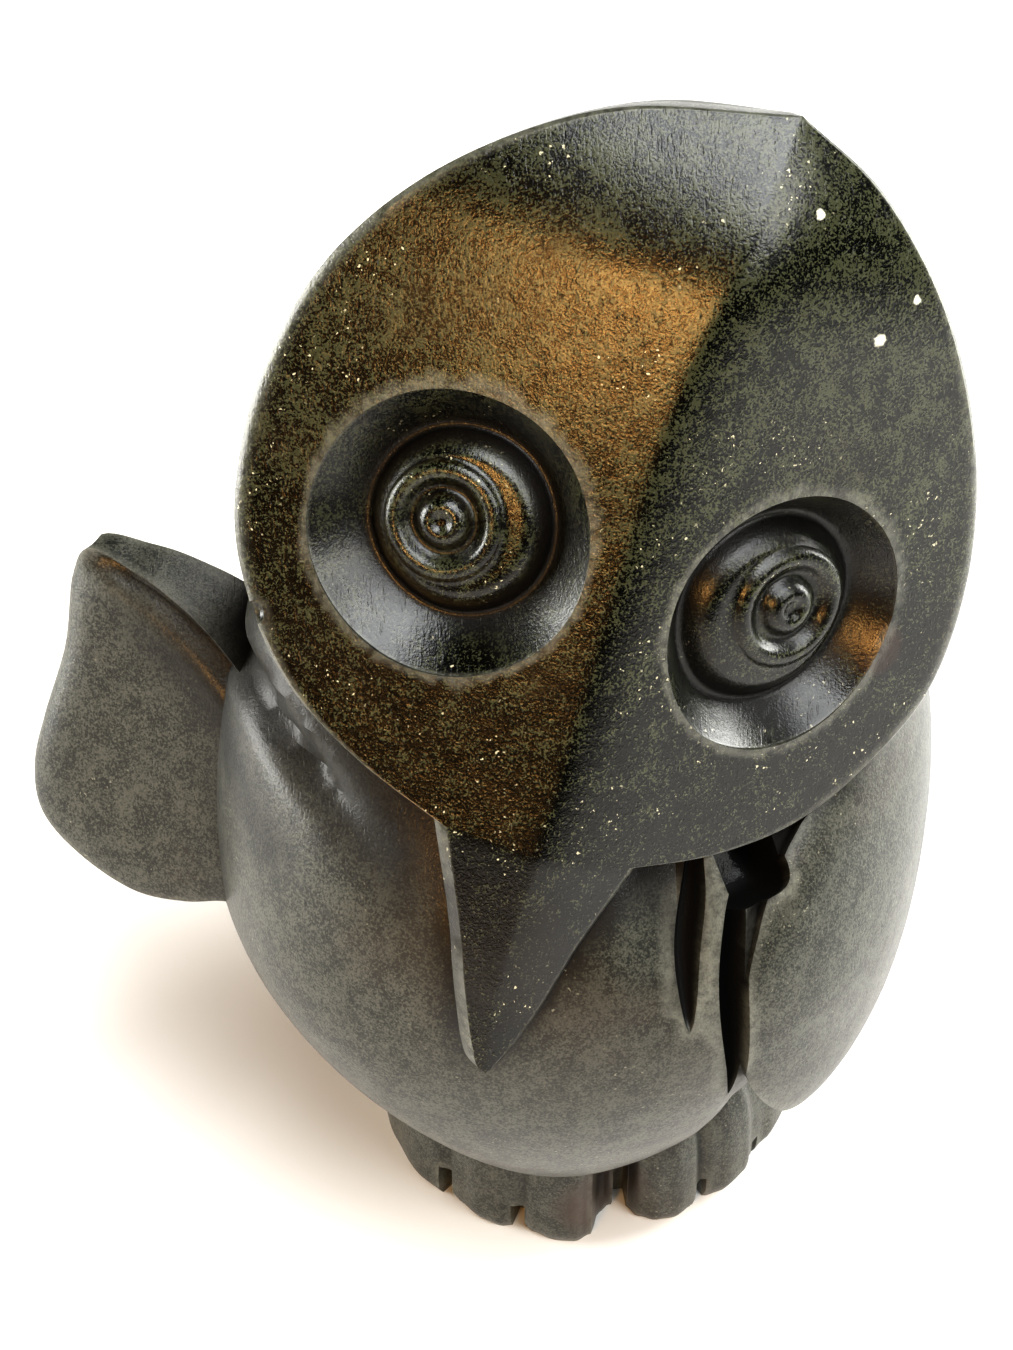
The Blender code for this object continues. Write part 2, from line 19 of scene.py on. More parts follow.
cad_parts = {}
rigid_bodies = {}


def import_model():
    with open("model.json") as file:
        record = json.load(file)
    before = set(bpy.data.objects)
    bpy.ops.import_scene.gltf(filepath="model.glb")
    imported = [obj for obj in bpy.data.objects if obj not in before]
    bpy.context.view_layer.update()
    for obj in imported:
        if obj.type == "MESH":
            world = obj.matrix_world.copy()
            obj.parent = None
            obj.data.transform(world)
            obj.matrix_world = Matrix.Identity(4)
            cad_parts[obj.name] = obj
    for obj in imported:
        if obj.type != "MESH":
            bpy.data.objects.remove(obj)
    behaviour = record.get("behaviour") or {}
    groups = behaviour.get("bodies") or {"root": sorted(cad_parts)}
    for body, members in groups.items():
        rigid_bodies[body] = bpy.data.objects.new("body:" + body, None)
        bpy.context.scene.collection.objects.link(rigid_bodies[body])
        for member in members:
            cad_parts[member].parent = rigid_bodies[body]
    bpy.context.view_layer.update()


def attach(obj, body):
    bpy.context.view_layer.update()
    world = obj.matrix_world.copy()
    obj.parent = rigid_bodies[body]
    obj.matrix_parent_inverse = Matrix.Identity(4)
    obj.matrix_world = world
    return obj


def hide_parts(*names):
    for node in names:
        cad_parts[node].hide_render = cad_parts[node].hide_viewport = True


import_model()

Skin = collections.namedtuple(
    "Skin",
    "across half_width front back setback widest below above width_fullness front_fullness back_fullness",
)

# The egg of the body
BODY = Skin(
    across=-0.0040,
    half_width=0.0343,
    front=0.0359,
    back=0.0345,
    setback=0.0,
    widest=0.0412,
    below=0.0338,
    above=0.0400,
    width_fullness=(1.90, 0.50),
    front_fullness=(0.75, 2.00),
    back_fullness=(1.0, 0.85),
)

# The head
BEAK_TIP_BEARING = math.radians(-10.9)
BEAK_TIP_HEIGHT = 0.0458
BEAK_PROUD = 0.0029
HEAD_TILT = math.radians(19.1)
HEAD_LEAN = math.radians(24.5)
HEAD_LENGTH = 0.0904
BEAK_EDGE_LEFT = ((0.0, 0.0), (0.012, -0.024), (0.075, -0.054), (0.153, -0.085), (0.246, -0.127))
BEAK_EDGE_RIGHT = ((0.0, 0.0), (0.015, 0.011), (0.075, 0.032), (0.157, 0.050), (0.252, 0.078))
FACE_EDGE_LEFT = (
    (0.246, -0.127), (0.275, -0.208), (0.321, -0.290), (0.390, -0.350), (0.480, -0.388),
    (0.606, -0.397), (0.740, -0.368), (0.858, -0.292), (0.952, -0.165), (1.0, 0.0),
)
FACE_EDGE_RIGHT = (
    (0.252, 0.078), (0.273, 0.169), (0.313, 0.251), (0.379, 0.312), (0.470, 0.356),
    (0.600, 0.349), (0.728, 0.299), (0.857, 0.206), (0.950, 0.103), (1.0, 0.0),
)
BEAK_SHARE_OF_ROWS = 1 / 3
FACE_SLOPE = math.tan(math.radians(20))
FACE_SWELL = 0.0030
RIDGE_LINE = (0.0, -0.0016, -0.0021, -0.0022, -0.0026, -0.0029, -0.0033, -0.0028, -0.0014, 0.0)
RIDGE_SOFT_LEFT = 0.0006
RIDGE_SOFT_RIGHT = 0.0040
RIDGE_HOLLOW = 0.0010
CROWN_ROLL_START = 0.80
CROWN_ROLL_DROP = 0.0060
HEAD_DEPTHS = (0.0035, 0.0075, 0.0120, 0.0240, 0.0310, 0.0325, 0.0290, 0.0185, 0.0080)
HEAD_SIDE_TAPER = 0.20
FACE_CHAMFER = 0.00040
BEAK_CHAMFER_LEFT = 0.00090

# The ringed eyes: places are shares of the head's length, inner is the size of the ring and disc against the socket,
# and the shifts are how far (across, up) those two stand off the socket's middle
Eye = collections.namedtuple("Eye", "name up across size inner disc_shift ring_shift")
EYES = (
    Eye("left", 0.526, -0.197, 0.921, 1.02, (0.0002, 0.0006), (-0.0010, 0.0006)),
    Eye("right", 0.523, 0.151, 0.885, 1.13, (-0.0001, 0.0003), (0.0009, 0.0013)),
)

# Each turn of an eye: (radius, depth, the part whose middle it turns about), from the middle outwards
EYE_PROFILE = (
    (0.0005, -0.0009, "ring"), (0.0013, -0.0003, "ring"), (0.0022, -0.0008, "ring"), (0.0028, -0.0019, "ring"),
    (0.0035, -0.0018, "ring"), (0.0044, -0.0007, "ring"), (0.0054, -0.0009, "ring"), (0.0059, -0.0017, "ring"),
    (0.0066, -0.0017, "disc"), (0.0076, -0.0024, "disc"), (0.0084, -0.0036, "disc"), (0.0088, -0.0042, "disc"),
    (0.0096, -0.0041, "disc"), (0.0138, -0.0004, "socket"), (0.0138, 0.0020, "socket"),
)
EYE_WOBBLE = 0.012

# The folded wing
FOLDED_SKIN = BODY._replace(
    half_width=BODY.half_width + 0.0033,
    front=BODY.front + 0.0021,
    back=BODY.back + 0.0016,
    setback=0.0080,
    below=0.0680,
    width_fullness=(1.08, BODY.width_fullness[1]),
    front_fullness=(1.0, BODY.front_fullness[1]),
)
FOLDED_OUTLINE = (
    (42.0, 0.0612), (38.4, 0.0603), (35.0, 0.0588), (32.0, 0.0566), (29.8, 0.0538), (28.0, 0.0502),
    (27.0, 0.0440), (28.7, 0.0376), (33.0, 0.0314), (38.4, 0.0268), (46.0, 0.0247), (56.0, 0.0248),
    (68.0, 0.0266), (82.0, 0.0308), (96.0, 0.0375), (103.0, 0.0470), (97.0, 0.0555), (78.0, 0.0610),
    (56.0, 0.0632),
)
FOLDED_MIDDLE = (62.0, 0.0450)
FOLDED_SINK = 0.0098
FOLDED_EDGE_ROUNDING = 0.0008
UNDER_WING = BODY._replace(
    half_width=BODY.half_width + 0.0002,
    front=BODY.front - 0.0007,
    setback=FOLDED_SKIN.setback,
)
UNDER_WING_START = (math.radians(28), math.radians(34))
UNDER_WING_END = (math.radians(120), math.radians(165))

# The raised wing
SHOULDER = Vector((-0.0363, -0.0075, 0.0510))
RAISED_SWEEP = math.radians(27)
RAISED_LEAN = math.radians(22)
RAISED_FACE = (
    (0.0180, 0.0202), (0.0136, 0.0196), (0.0099, 0.0186), (0.0046, 0.0162), (-0.0003, 0.0127), (-0.0060, 0.0078),
    (-0.0110, 0.0038), (-0.0100, -0.0050), (-0.0060, -0.0105), (-0.0011, -0.0117), (0.0031, -0.0134),
    (0.0087, -0.0144), (0.0153, -0.0128), (0.0200, -0.0098), (0.0216, -0.0051), (0.0212, 0.0007),
    (0.0199, 0.0090), (0.0200, 0.0166),
)
RAISED_MIDDLE = (0.0100, 0.0030)
RAISED_CREASE_FALL = 0.56
RAISED_THIN = 0.0020
RAISED_THICKENING = 0.36
RAISED_TOP_RISE = 0.42
RAISED_BACK_SHARE = 0.84
RAISED_EDGE_ROUNDING = 0.0010
RAISED_COVE_DEPTH = 0.0015
RAISED_COVE_LIP = 0.0010
RAISED_COVE_WIDTH = 0.0038
RAISED_COVE_FADE = (-0.0020, 0.0040)

# The tail and the feet
TAIL_HALF_WIDTH = 0.0135
TAIL_HALF_THICKNESS = 0.0060
TAIL_TOP = Vector((BODY.across, 0.0240, 0.0400))
TAIL_TIP = Vector((BODY.across, 0.0330, -0.0040))
# The feet are one block. Its outline on the ground is (bearing in degrees, reach) round from the back,
# and its sides are (height, share of the reach) from the ground up.
FEET_OUTLINE = (
    (-180, 0.0205), (-150, 0.0212), (-120, 0.0222), (-95, 0.0228), (-78, 0.0229), (-62, 0.0236), (-50, 0.0241),
    (-43, 0.0239), (-39.5, 0.0233), (-36, 0.0236), (-30, 0.0241), (-25, 0.0241), (-21, 0.0234), (-19, 0.0230),
    (-16, 0.0236), (-10, 0.0241), (-5, 0.0240), (-1, 0.0230), (1.5, 0.0202), (5, 0.0192), (10, 0.0196),
    (13, 0.0212), (18, 0.0222), (23, 0.0225), (28, 0.0220), (31.5, 0.0211), (35, 0.0218), (40, 0.0222),
    (47, 0.0220), (52, 0.0212), (57, 0.0212), (62, 0.0216), (75, 0.0218), (95, 0.0214), (120, 0.0208), (150, 0.0205),
    (180, 0.0205),
)
FEET_SIDES = ((-0.0020, 0.950), (0.0, 0.972), (0.0016, 1.0), (0.0055, 1.0), (0.0095, 0.985), (0.0130, 0.940),
              (0.0160, 0.840), (0.0185, 0.600))
FEET_CROWDING = 0.48
FEET_FINENESS = (220, 32)
FEET_CUTS = (
    ("toe_slot_1", -41.0, 0.0014, 0.0206, 0.0052), ("toe_slot_2", -20.0, 0.0014, 0.0204, 0.0042),
    ("toe_slot_3", 31.5, 0.0013, 0.0192, 0.0036), ("toe_slot_4", 53.5, 0.0010, 0.0196, 0.0034),
    ("crack_between_feet", 8.0, 0.0015, 0.0168, 0.0115),
)
FEET_CUT_LENGTH = 0.0100

# The soft hollow that goes on from the raised wing's crease across the shoulder, as (bearing in degrees, height),
# and the dip in the breast beside the folded wing, between bearings and heights
SHOULDER_HOLLOW = (
    (-100.0, 0.0650), (-87.0, 0.0655), (-71.0, 0.0662), (-51.8, 0.0648), (-40.0, 0.0628), (-26.8, 0.0600),
)
SHOULDER_HOLLOW_WIDTHS = (0.0042, 0.0024)
SHOULDER_HOLLOW_DEPTH = 0.0018
BREAST_DIP_START = (math.radians(7), math.radians(19.5))
BREAST_DIP_END = (math.radians(20.5), math.radians(22))
BREAST_DIP_HEIGHTS = (0.0440, 0.0580)
BREAST_DIP_DEPTH = 0.0015

# Grooves in the breast beside the folded wing: (bearing in degrees, height) down each
BREAST_GROOVE = ((22.5, 0.0640), (21.5, 0.0590), (20.2, 0.0540), (20.2, 0.0465))
WING_GROOVE = ((31.5, 0.0620), (28.6, 0.0560), (27.5, 0.0480), (29.0, 0.0345))
BREAST_GROOVE_SIZE = (0.0026, 0.0036)
WING_GROOVE_SIZE = (0.0030, 0.0052)
ARMPIT_BEARING = math.radians(32.2)
ARMPIT_HEIGHT = 0.0602
ARMPIT_HALF_SIZES = Vector((0.0034, 0.0085, 0.0044))
ARMPIT_TURN = (math.radians(-48), math.radians(-4))
RIM_CHIPS = ((0.378, -0.343, 0.0011), (0.330, 0.336, 0.0012))

# How finely each form is made: (segments round it, rows along it)
HEAD_FINENESS = (208, 156)
BODY_FINENESS = (168, 96)
FOLDED_FINENESS = (112, 38)
RAISED_FINENESS = (112, 38)
TAIL_FINENESS = (48, 28)
GROOVE_FINENESS = (20, 40)
ARMPIT_FINENESS = (48, 32)
CHIP_FINENESS = (16, 12)
EYE_STEPS = 128
CORNER_CUTS = 2

# Marks in the stone: middle, radius and tint
PALE_FLAKE = (0.66, 0.66, 0.56)
RUST = (0.020, 0.009, 0.005)
MARKS = (
    ((0.0170, -0.0027, 0.1168), 0.00045, PALE_FLAKE),
    ((0.0259, -0.0019, 0.1072), 0.00045, PALE_FLAKE),
    ((0.0227, -0.0046, 0.1050), 0.00060, PALE_FLAKE),
    ((0.0247, -0.0110, 0.0742), 0.0026, RUST),
    ((0.0003, -0.0212, 0.0061), 0.0050, (0.040, 0.020, 0.010)),
)
SHARP_ANGLE = math.radians(34)
WORLD_SEEN = 1.0
WORLD_REFLECTED = 0.03
WORLD_SOFT_LIGHT = 0.35
SHELTER_RAYS = 14
SHELTER_REACH = 0.014
SHELTER_LIFT = 0.0003
MERGE_DISTANCE = 0.000004
CUTTER_OVERSIZE = 0.1
SQUARENESS = 0.50

# The photograph's camera
CAMERA_ELEVATION = math.radians(45)
CAMERA_DISTANCE = 0.320
CAMERA_TARGET = Vector((-0.0091, 0.0050, 0.0550))
CAMERA_LENS = 86.9


def new_collection(name):
    collection = bpy.data.collections.new(name)
    bpy.context.scene.collection.children.link(collection)
    return collection


def spline(points, share):
    """The point at a share of the way along a smooth curve through the points."""
    spans = len(points) - 1
    place = min(max(share, 0.0), 1.0) * spans
    index = min(int(place), spans - 1)
    t = place - index
    start, end = Vector(points[index]), Vector(points[index + 1])
    before = Vector(points[index - 1]) if index > 0 else 2 * start - end
    after = Vector(points[index + 2]) if index + 2 <= spans else 2 * end - start
    return 0.5 * (
        2 * start
        + (end - before) * t
        + (2 * before - 5 * start + 4 * end - after) * t**2
        + (3 * start - before - 3 * end + after) * t**3
    )


def value_along(values, share):
    return spline([(value, 0.0) for value in values], share).x


def closed_spline(points, turn):
    """The point at a turn, in whole turns, round a smooth closed curve through the points."""
    count = len(points)
    place = (turn % 1.0) * count
    index = int(place) % count
    near = [points[(index + offset) % count] for offset in (-1, 0, 1, 2)]
    return spline(near, (1 + place - int(place)) / 3)


def carved_form(name, fineness, place, collection):
    """A sphere primitive reshaped by place(along, around): along goes from 0 to 1 from the lower pole
    to the upper one, and around is the angle from the front, positive towards +X."""
    mesh = bpy.data.meshes.new(name)
    shape = bmesh.new()
    bmesh.ops.create_uvsphere(shape, u_segments=fineness[0], v_segments=fineness[1], radius=1.0)
    for vertex in shape.verts:
        along = math.acos(max(-1.0, min(1.0, -vertex.co.z))) / math.pi
        around = math.atan2(vertex.co.x, -vertex.co.y)
        vertex.co = place(along, around)
    bmesh.ops.triangulate(shape, faces=shape.faces)
    bmesh.ops.recalc_face_normals(shape, faces=shape.faces)
    shape.to_mesh(mesh)
    shape.free()
    obj = bpy.data.objects.new(name, mesh)
    collection.objects.link(obj)
    return obj


def block(name, size, collection):
    mesh = bpy.data.meshes.new(name)
    shape = bmesh.new()
    bmesh.ops.create_cube(shape, size=1.0, matrix=Matrix.Diagonal((*size, 1.0)))
    shape.to_mesh(mesh)
    shape.free()
    obj = bpy.data.objects.new(name, mesh)
    collection.objects.link(obj)
    return obj


def join_or_cut(obj, name, operation, collection):
    modifier = obj.modifiers.new(name, "BOOLEAN")
    modifier.operation = operation
    modifier.operand_type = "COLLECTION"
    modifier.collection = collection
    modifier.solver = "EXACT"


def skin_point(skin, bearing, height):
    """A point on an egg at a bearing from the front and a height."""
    rise = height - skin.widest
    above = int(rise > 0)
    reach = (skin.below, skin.above)[above]
    narrowing = math.sqrt(max(0.0, 1.0 - (rise / reach) ** 2))
    half_width = skin.half_width * narrowing ** skin.width_fullness[above]
    if math.cos(bearing) > 0:
        depth = (skin.front + skin.setback) * narrowing ** skin.front_fullness[above]
    else:
        depth = (skin.back - skin.setback) * narrowing ** skin.back_fullness[above]
    return Vector((
        skin.across + half_width * math.sin(bearing),
        skin.setback * narrowing - depth * math.cos(bearing),
        height,
    ))


def gradual(value, limits):
    share = min(1.0, max(0.0, (value - limits[0]) / (limits[1] - limits[0])))
    return share * share * (3 - 2 * share)


def on_body(bearing, height):
    under = gradual(bearing, UNDER_WING_START) * (1 - gradual(bearing, UNDER_WING_END))
    return skin_point(BODY, bearing, height).lerp(skin_point(UNDER_WING, bearing, height), under)


def on_breast(bearing, height):
    return skin_point(BODY, bearing, height)


def on_folded_wing(bearing, height):
    return skin_point(FOLDED_SKIN, bearing, height)


def proud_point(surface, bearing, height, proud):
    """A point that stands this far out from a surface given by bearing and height."""
    step = 0.0001
    sideways = surface(bearing + step, height) - surface(bearing - step, height)
    upwards = surface(bearing, height + step) - surface(bearing, height - step)
    return surface(bearing, height) + sideways.cross(upwards).normalized() * proud


def sunk_along(path, spot, widths, depth):
    """How deep a soft hollow along a path is at a spot. Its widths are how far it reaches (down, up) from the path."""
    nearest = min(range(len(path)), key=lambda index: (path[index] - spot).length_squared)
    width = widths[int(spot.z > path[nearest].z)]
    away = (path[nearest] - spot).length / width
    if away >= 1.0:
        return 0.0
    fade = min(1.0, 3 * (1 - nearest / (len(path) - 1)))
    return depth * fade * (1 + math.cos(math.pi * away)) / 2


def body_egg(collection):
    steps = 36
    path = []
    for step in range(steps + 1):
        bearing, height = spline(SHOULDER_HOLLOW, step / steps)
        path.append(on_body(math.radians(bearing), height))

    def place(along, around):
        polar = (along - 0.5) * math.pi
        reach = BODY.below if polar < 0 else BODY.above
        height = BODY.widest + reach * math.sin(polar) * 0.99999
        spot = on_body(around, height)
        sunk = sunk_along(path, spot, SHOULDER_HOLLOW_WIDTHS, SHOULDER_HOLLOW_DEPTH)
        dip = gradual(around, BREAST_DIP_START) * (1 - gradual(around, BREAST_DIP_END))
        sunk += BREAST_DIP_DEPTH * dip * gradual(height, BREAST_DIP_HEIGHTS)
        return proud_point(on_body, around, height, -sunk) if sunk > 0 else spot

    return carved_form("fine_soapstone_owl", BODY_FINENESS, place, collection)


def head_frame():
    """Turns head sizes (across, minus outwards, up the face) into the bird's own space."""
    tip = proud_point(on_body, BEAK_TIP_BEARING, BEAK_TIP_HEIGHT, BEAK_PROUD)
    turned = Matrix.Rotation(HEAD_TILT, 4, "Y") @ Matrix.Rotation(-HEAD_LEAN, 4, "X")
    return Matrix.Translation(tip) @ turned


def ridge_across(up):
    return value_along(RIDGE_LINE, up / HEAD_LENGTH)


def face_out(up, across):
    """How far the face stands out at a place on it: two slopes from the ridge, rolled back at the crown."""
    side = across - ridge_across(up)
    soft = RIDGE_SOFT_RIGHT if side > 0 else RIDGE_SOFT_LEFT
    fall = FACE_SLOPE * (math.hypot(side, soft) - soft)
    widest = -FACE_EDGE_LEFT[5][1] * HEAD_LENGTH
    swell = FACE_SWELL * (1 - (side / widest) ** 2)
    share = up / HEAD_LENGTH
    hollow = RIDGE_HOLLOW * 4 * share * (1 - share)
    roll = max(0.0, (share - CROWN_ROLL_START) / (1 - CROWN_ROLL_START))
    growth = min(1.0, share / FACE_EDGE_LEFT[0][0])
    return (swell * growth - fall) - hollow - CROWN_ROLL_DROP * roll**2


def face_edges(along):
    """The face's left and right edge at a share of the way from the beak's tip to the crown."""
    if along < BEAK_SHARE_OF_ROWS:
        part = along / BEAK_SHARE_OF_ROWS
        edges = spline(BEAK_EDGE_LEFT, part), spline(BEAK_EDGE_RIGHT, part)
    else:
        part = (along - BEAK_SHARE_OF_ROWS) / (1 - BEAK_SHARE_OF_ROWS)
        edges = spline(FACE_EDGE_LEFT, part), spline(FACE_EDGE_RIGHT, part)
    return [edge * HEAD_LENGTH for edge in edges]


def head(to_bird, collection):
    columns = HEAD_FINENESS[0] // 4

    def place(along, around):
        left, right = face_edges(along)
        ridge_up = (left.x + right.x) / 2
        ridge = Vector((ridge_up, ridge_across(ridge_up)))
        edge = right if around > 0 else left
        width = max((edge - ridge).length, 0.00001)
        on_beak = 1 - gradual(along, (BEAK_SHARE_OF_ROWS, 1.3 * BEAK_SHARE_OF_ROWS))
        cut = FACE_CHAMFER if around > 0 else FACE_CHAMFER + (BEAK_CHAMFER_LEFT - FACE_CHAMFER) * on_beak
        chamfer = min(0.4, cut / width)
        column = abs(around) / (math.pi / 2) * columns
        if column < columns - 0.5:
            spot = ridge.lerp(edge, (1 - chamfer) * column / (columns - 1))
            return to_bird @ Vector((spot.y, -face_out(spot.x, spot.y), spot.x))
        turn = (column - columns) / columns * (math.pi / 2)
        edge_out = face_out(edge.x, edge.y)
        spot = ridge.lerp(edge, math.cos(turn) * (1 - HEAD_SIDE_TAPER * math.sin(turn)))
        depth = value_along(HEAD_DEPTHS, along) * min(1.0, 2.4 * math.sin(math.pi * along) ** 0.5)
        back = max(depth * math.sin(turn), min(cut, depth * 0.5))
        return to_bird @ Vector((spot.y, back - edge_out, spot.x))

    return carved_form("fine_head", HEAD_FINENESS, place, collection)


def eye_frame(to_bird, up, across):
    """The middle of an eye on the face, with its Z axis square to the face there and its Y axis up."""
    step = 0.0100
    out = face_out(up, across)
    sideways = Vector((2 * step, face_out(up, across - step) - face_out(up, across + step), 0.0))
    upwards = Vector((0.0, face_out(up - step, across) - face_out(up + step, across), 2 * step))
    outward = sideways.cross(upwards).normalized()
    level = upwards.cross(outward).normalized()
    rotation = Matrix((level, outward.cross(level), outward)).transposed().to_4x4()
    return to_bird @ Matrix.Translation((across, -out, up)) @ rotation


def softened(rows):
    """Cuts the corners of a line of rows, which leaves it rounded but never bulging."""
    for _ in range(CORNER_CUTS):
        cut = [rows[0]]
        for first, second in zip(rows, rows[1:]):
            cut.append(first.lerp(second, 0.25))
            cut.append(first.lerp(second, 0.75))
        rows = cut + [rows[-1]]
    return rows


def eye_cutter(eye, to_bird, collection):
    """What is taken out of the face to leave the rings of one eye."""
    shifts = {"socket": (0.0, 0.0), "disc": eye.disc_shift, "ring": eye.ring_shift}
    middle, rim = EYE_PROFILE[0], EYE_PROFILE[-1]
    turns = ((0.0, middle[1], middle[2]),) + EYE_PROFILE[:-1]
    rows = softened([
        Vector((radius * (1.0 if part == "socket" else eye.inner), depth, *shifts[part]))
        for radius, depth, part in turns
    ])
    rows.append(Vector((rim[0], rim[1], 0.0, 0.0)))
    rows.append(Vector((0.0, rim[1], 0.0, 0.0)))
    phase = 1.1 if eye.across > 0 else -0.7

    def place(along, around):
        radius, depth, across, up = rows[round(along * (len(rows) - 1))]
        wobble = math.sin(3 * around + phase) + 0.6 * math.sin(5 * around - 2 * phase)
        reach = radius * (1 + EYE_WOBBLE * wobble / 2)
        return to_bird @ (eye.size * Vector((
            across + reach * math.sin(around),
            up - reach * math.cos(around),
            depth,
        )))

    return carved_form("fine_eye_" + eye.name, (EYE_STEPS, len(rows) - 1), place, collection)


def leaf(name, fineness, outline, place_on, collection):
    """A leaf-shaped slab. place_on(edge point, share out to the edge, share from the face to the back) sets its
    form: the upper half of the rows is the face, then come the edge and the back."""
    edge_rows = 8
    face_rows = (fineness[1] - edge_rows) // 2
    back_rows = fineness[1] - edge_rows - face_rows

    def place(along, around):
        row = round((1 - along) * fineness[1])
        edge = closed_spline(outline, around / (2 * math.pi))
        if row <= face_rows:
            return place_on(edge, 1 - (1 - row / face_rows) ** 1.5, 0.0)
        if row <= face_rows + edge_rows:
            return place_on(edge, 1.0, (row - face_rows) / edge_rows)
        return place_on(edge, ((fineness[1] - row) / back_rows) ** 0.7, 1.0)

    return carved_form(name, fineness, place, collection)


def folded_wing(collection):
    middle = Vector(FOLDED_MIDDLE)

    def place_on(edge, out, back):
        spot = middle.lerp(edge, out * (1 - 0.10 * back))
        proud = -FOLDED_EDGE_ROUNDING * out**8 - FOLDED_SINK * back
        return proud_point(on_folded_wing, math.radians(spot.x), spot.y, proud)

    return leaf("fine_folded_wing", FOLDED_FINENESS, FOLDED_OUTLINE, place_on, collection)


def raised_frame():
    turned = Matrix.Rotation(-RAISED_SWEEP, 4, "Z") @ Matrix.Rotation(-RAISED_LEAN, 4, "X")
    return Matrix.Translation(SHOULDER) @ turned


def raised_wing(collection):
    to_bird = raised_frame()
    middle = Vector(RAISED_MIDDLE)
    corner = Vector(RAISED_FACE[0])

    def place_on(edge, out, back):
        crease = corner.y - RAISED_CREASE_FALL * (corner.x - edge.x)
        rounded = min(1.0, max(0.0, (crease - edge.y) / 0.004))
        spot = middle.lerp(edge, out * (1 - (1 - RAISED_BACK_SHARE) * back * rounded))
        depth = RAISED_THIN + RAISED_THICKENING * max(0.0, corner.x - spot.x)
        inset = RAISED_EDGE_ROUNDING * out**8 * rounded
        below = (edge - spot).length
        sunk = gradual(below, (0.0, RAISED_COVE_LIP)) * (1 - gradual(below, (RAISED_COVE_LIP, RAISED_COVE_WIDTH)))
        sunk *= (1 - back) * (1 - rounded) * gradual(corner.x - spot.x, RAISED_COVE_FADE)
        inset_front = inset + RAISED_COVE_DEPTH * sunk
        rise = RAISED_TOP_RISE * depth * back * out * (1 - rounded)
        return to_bird @ Vector((-spot.x, inset_front + (depth - 2 * inset) * back, spot.y + rise))

    return leaf("fine_raised_wing", RAISED_FINENESS, RAISED_FACE, place_on, collection)


def tail(collection):
    run = TAIL_TIP - TAIL_TOP
    thickness_way = Vector((0.0, run.z, -run.y)).normalized()

    def place(along, around):
        middle = TAIL_TIP.lerp(TAIL_TOP, along)
        girth = math.sin(math.pi * along) ** 0.35
        across = Vector((1, 0, 0)) * TAIL_HALF_WIDTH * math.sin(around) * girth
        return middle + across + thickness_way * TAIL_HALF_THICKNESS * math.cos(around) * girth

    return carved_form("fine_tail", TAIL_FINENESS, place, collection)


def feet(collection):
    """Both feet as one block: the outline on the ground, drawn in again towards the top."""

    def place(along, around):
        bearing = math.degrees(around - FEET_CROWDING * math.sin(around))
        after = next(i for i in range(1, len(FEET_OUTLINE)) if bearing <= FEET_OUTLINE[i][0] + 1e-6)
        before, behind = FEET_OUTLINE[after - 1], FEET_OUTLINE[after]
        reach = before[1] + (behind[1] - before[1]) * gradual(bearing, (before[0], behind[0]))
        if along in (0.0, 1.0):
            return Vector((0.0, 0.0, FEET_SIDES[int(along) * -1][0]))
        height, share = spline(FEET_SIDES, (round(along * FEET_FINENESS[1]) - 1) / (FEET_FINENESS[1] - 2))
        reach *= share
        turn = math.radians(bearing)
        return Vector((reach * math.sin(turn), -reach * math.cos(turn), height))

    return carved_form("fine_feet", FEET_FINENESS, place, collection)


def upright_cut(name, bearing, width, nearest, height, collection):
    """An upright block that cuts into the feet from outside, to as near the middle as it says."""
    cut = block(name, (width, FEET_CUT_LENGTH, height * 2), collection)
    place = Matrix.Translation((0, -nearest - FEET_CUT_LENGTH / 2, 0))
    cut.matrix_world = Matrix.Rotation(math.radians(bearing), 4, "Z") @ place
    return cut


def groove_cutter(name, path, size, collection):
    """A thin spindle along a line on the body: it cuts a groove that fades out at both ends."""
    half_width, depth = size[0] / 2, size[1]

    def place(along, around):
        spot = spline(path, 1 - along)
        girth = math.sin(math.pi * along) ** 0.6
        turn = math.asin(half_width * girth * math.sin(around) / BODY.half_width)
        return proud_point(on_breast, math.radians(spot.x) + turn, spot.y, depth * girth * math.cos(around))

    return carved_form(name, GROOVE_FINENESS, place, collection)


def squared(value):
    return math.copysign(abs(value) ** SQUARENESS, value)


def pocket(name, middle, turn, half_sizes, collection):
    """A block with rounded corners, turned by angles about (X, Y) and then to face a bearing about Z."""
    turned = Matrix.Rotation(turn[2], 3, "Z") @ Matrix.Rotation(turn[1], 3, "Y") @ Matrix.Rotation(turn[0], 3, "X")

    def place(along, around):
        polar = (along - 0.5) * math.pi
        flat = squared(math.cos(polar))
        spot = Vector((flat * squared(math.sin(around)), -flat * squared(math.cos(around)), squared(math.sin(polar))))
        return middle + turned @ (spot * half_sizes)

    return carved_form(name, ARMPIT_FINENESS, place, collection)


def ball(name, middle, radius, fineness, collection):
    def place(along, around):
        polar = (along - 0.5) * math.pi
        flat = math.cos(polar)
        return middle + radius * Vector((flat * math.sin(around), -flat * math.cos(around), math.sin(polar)))

    return carved_form(name, fineness, place, collection)


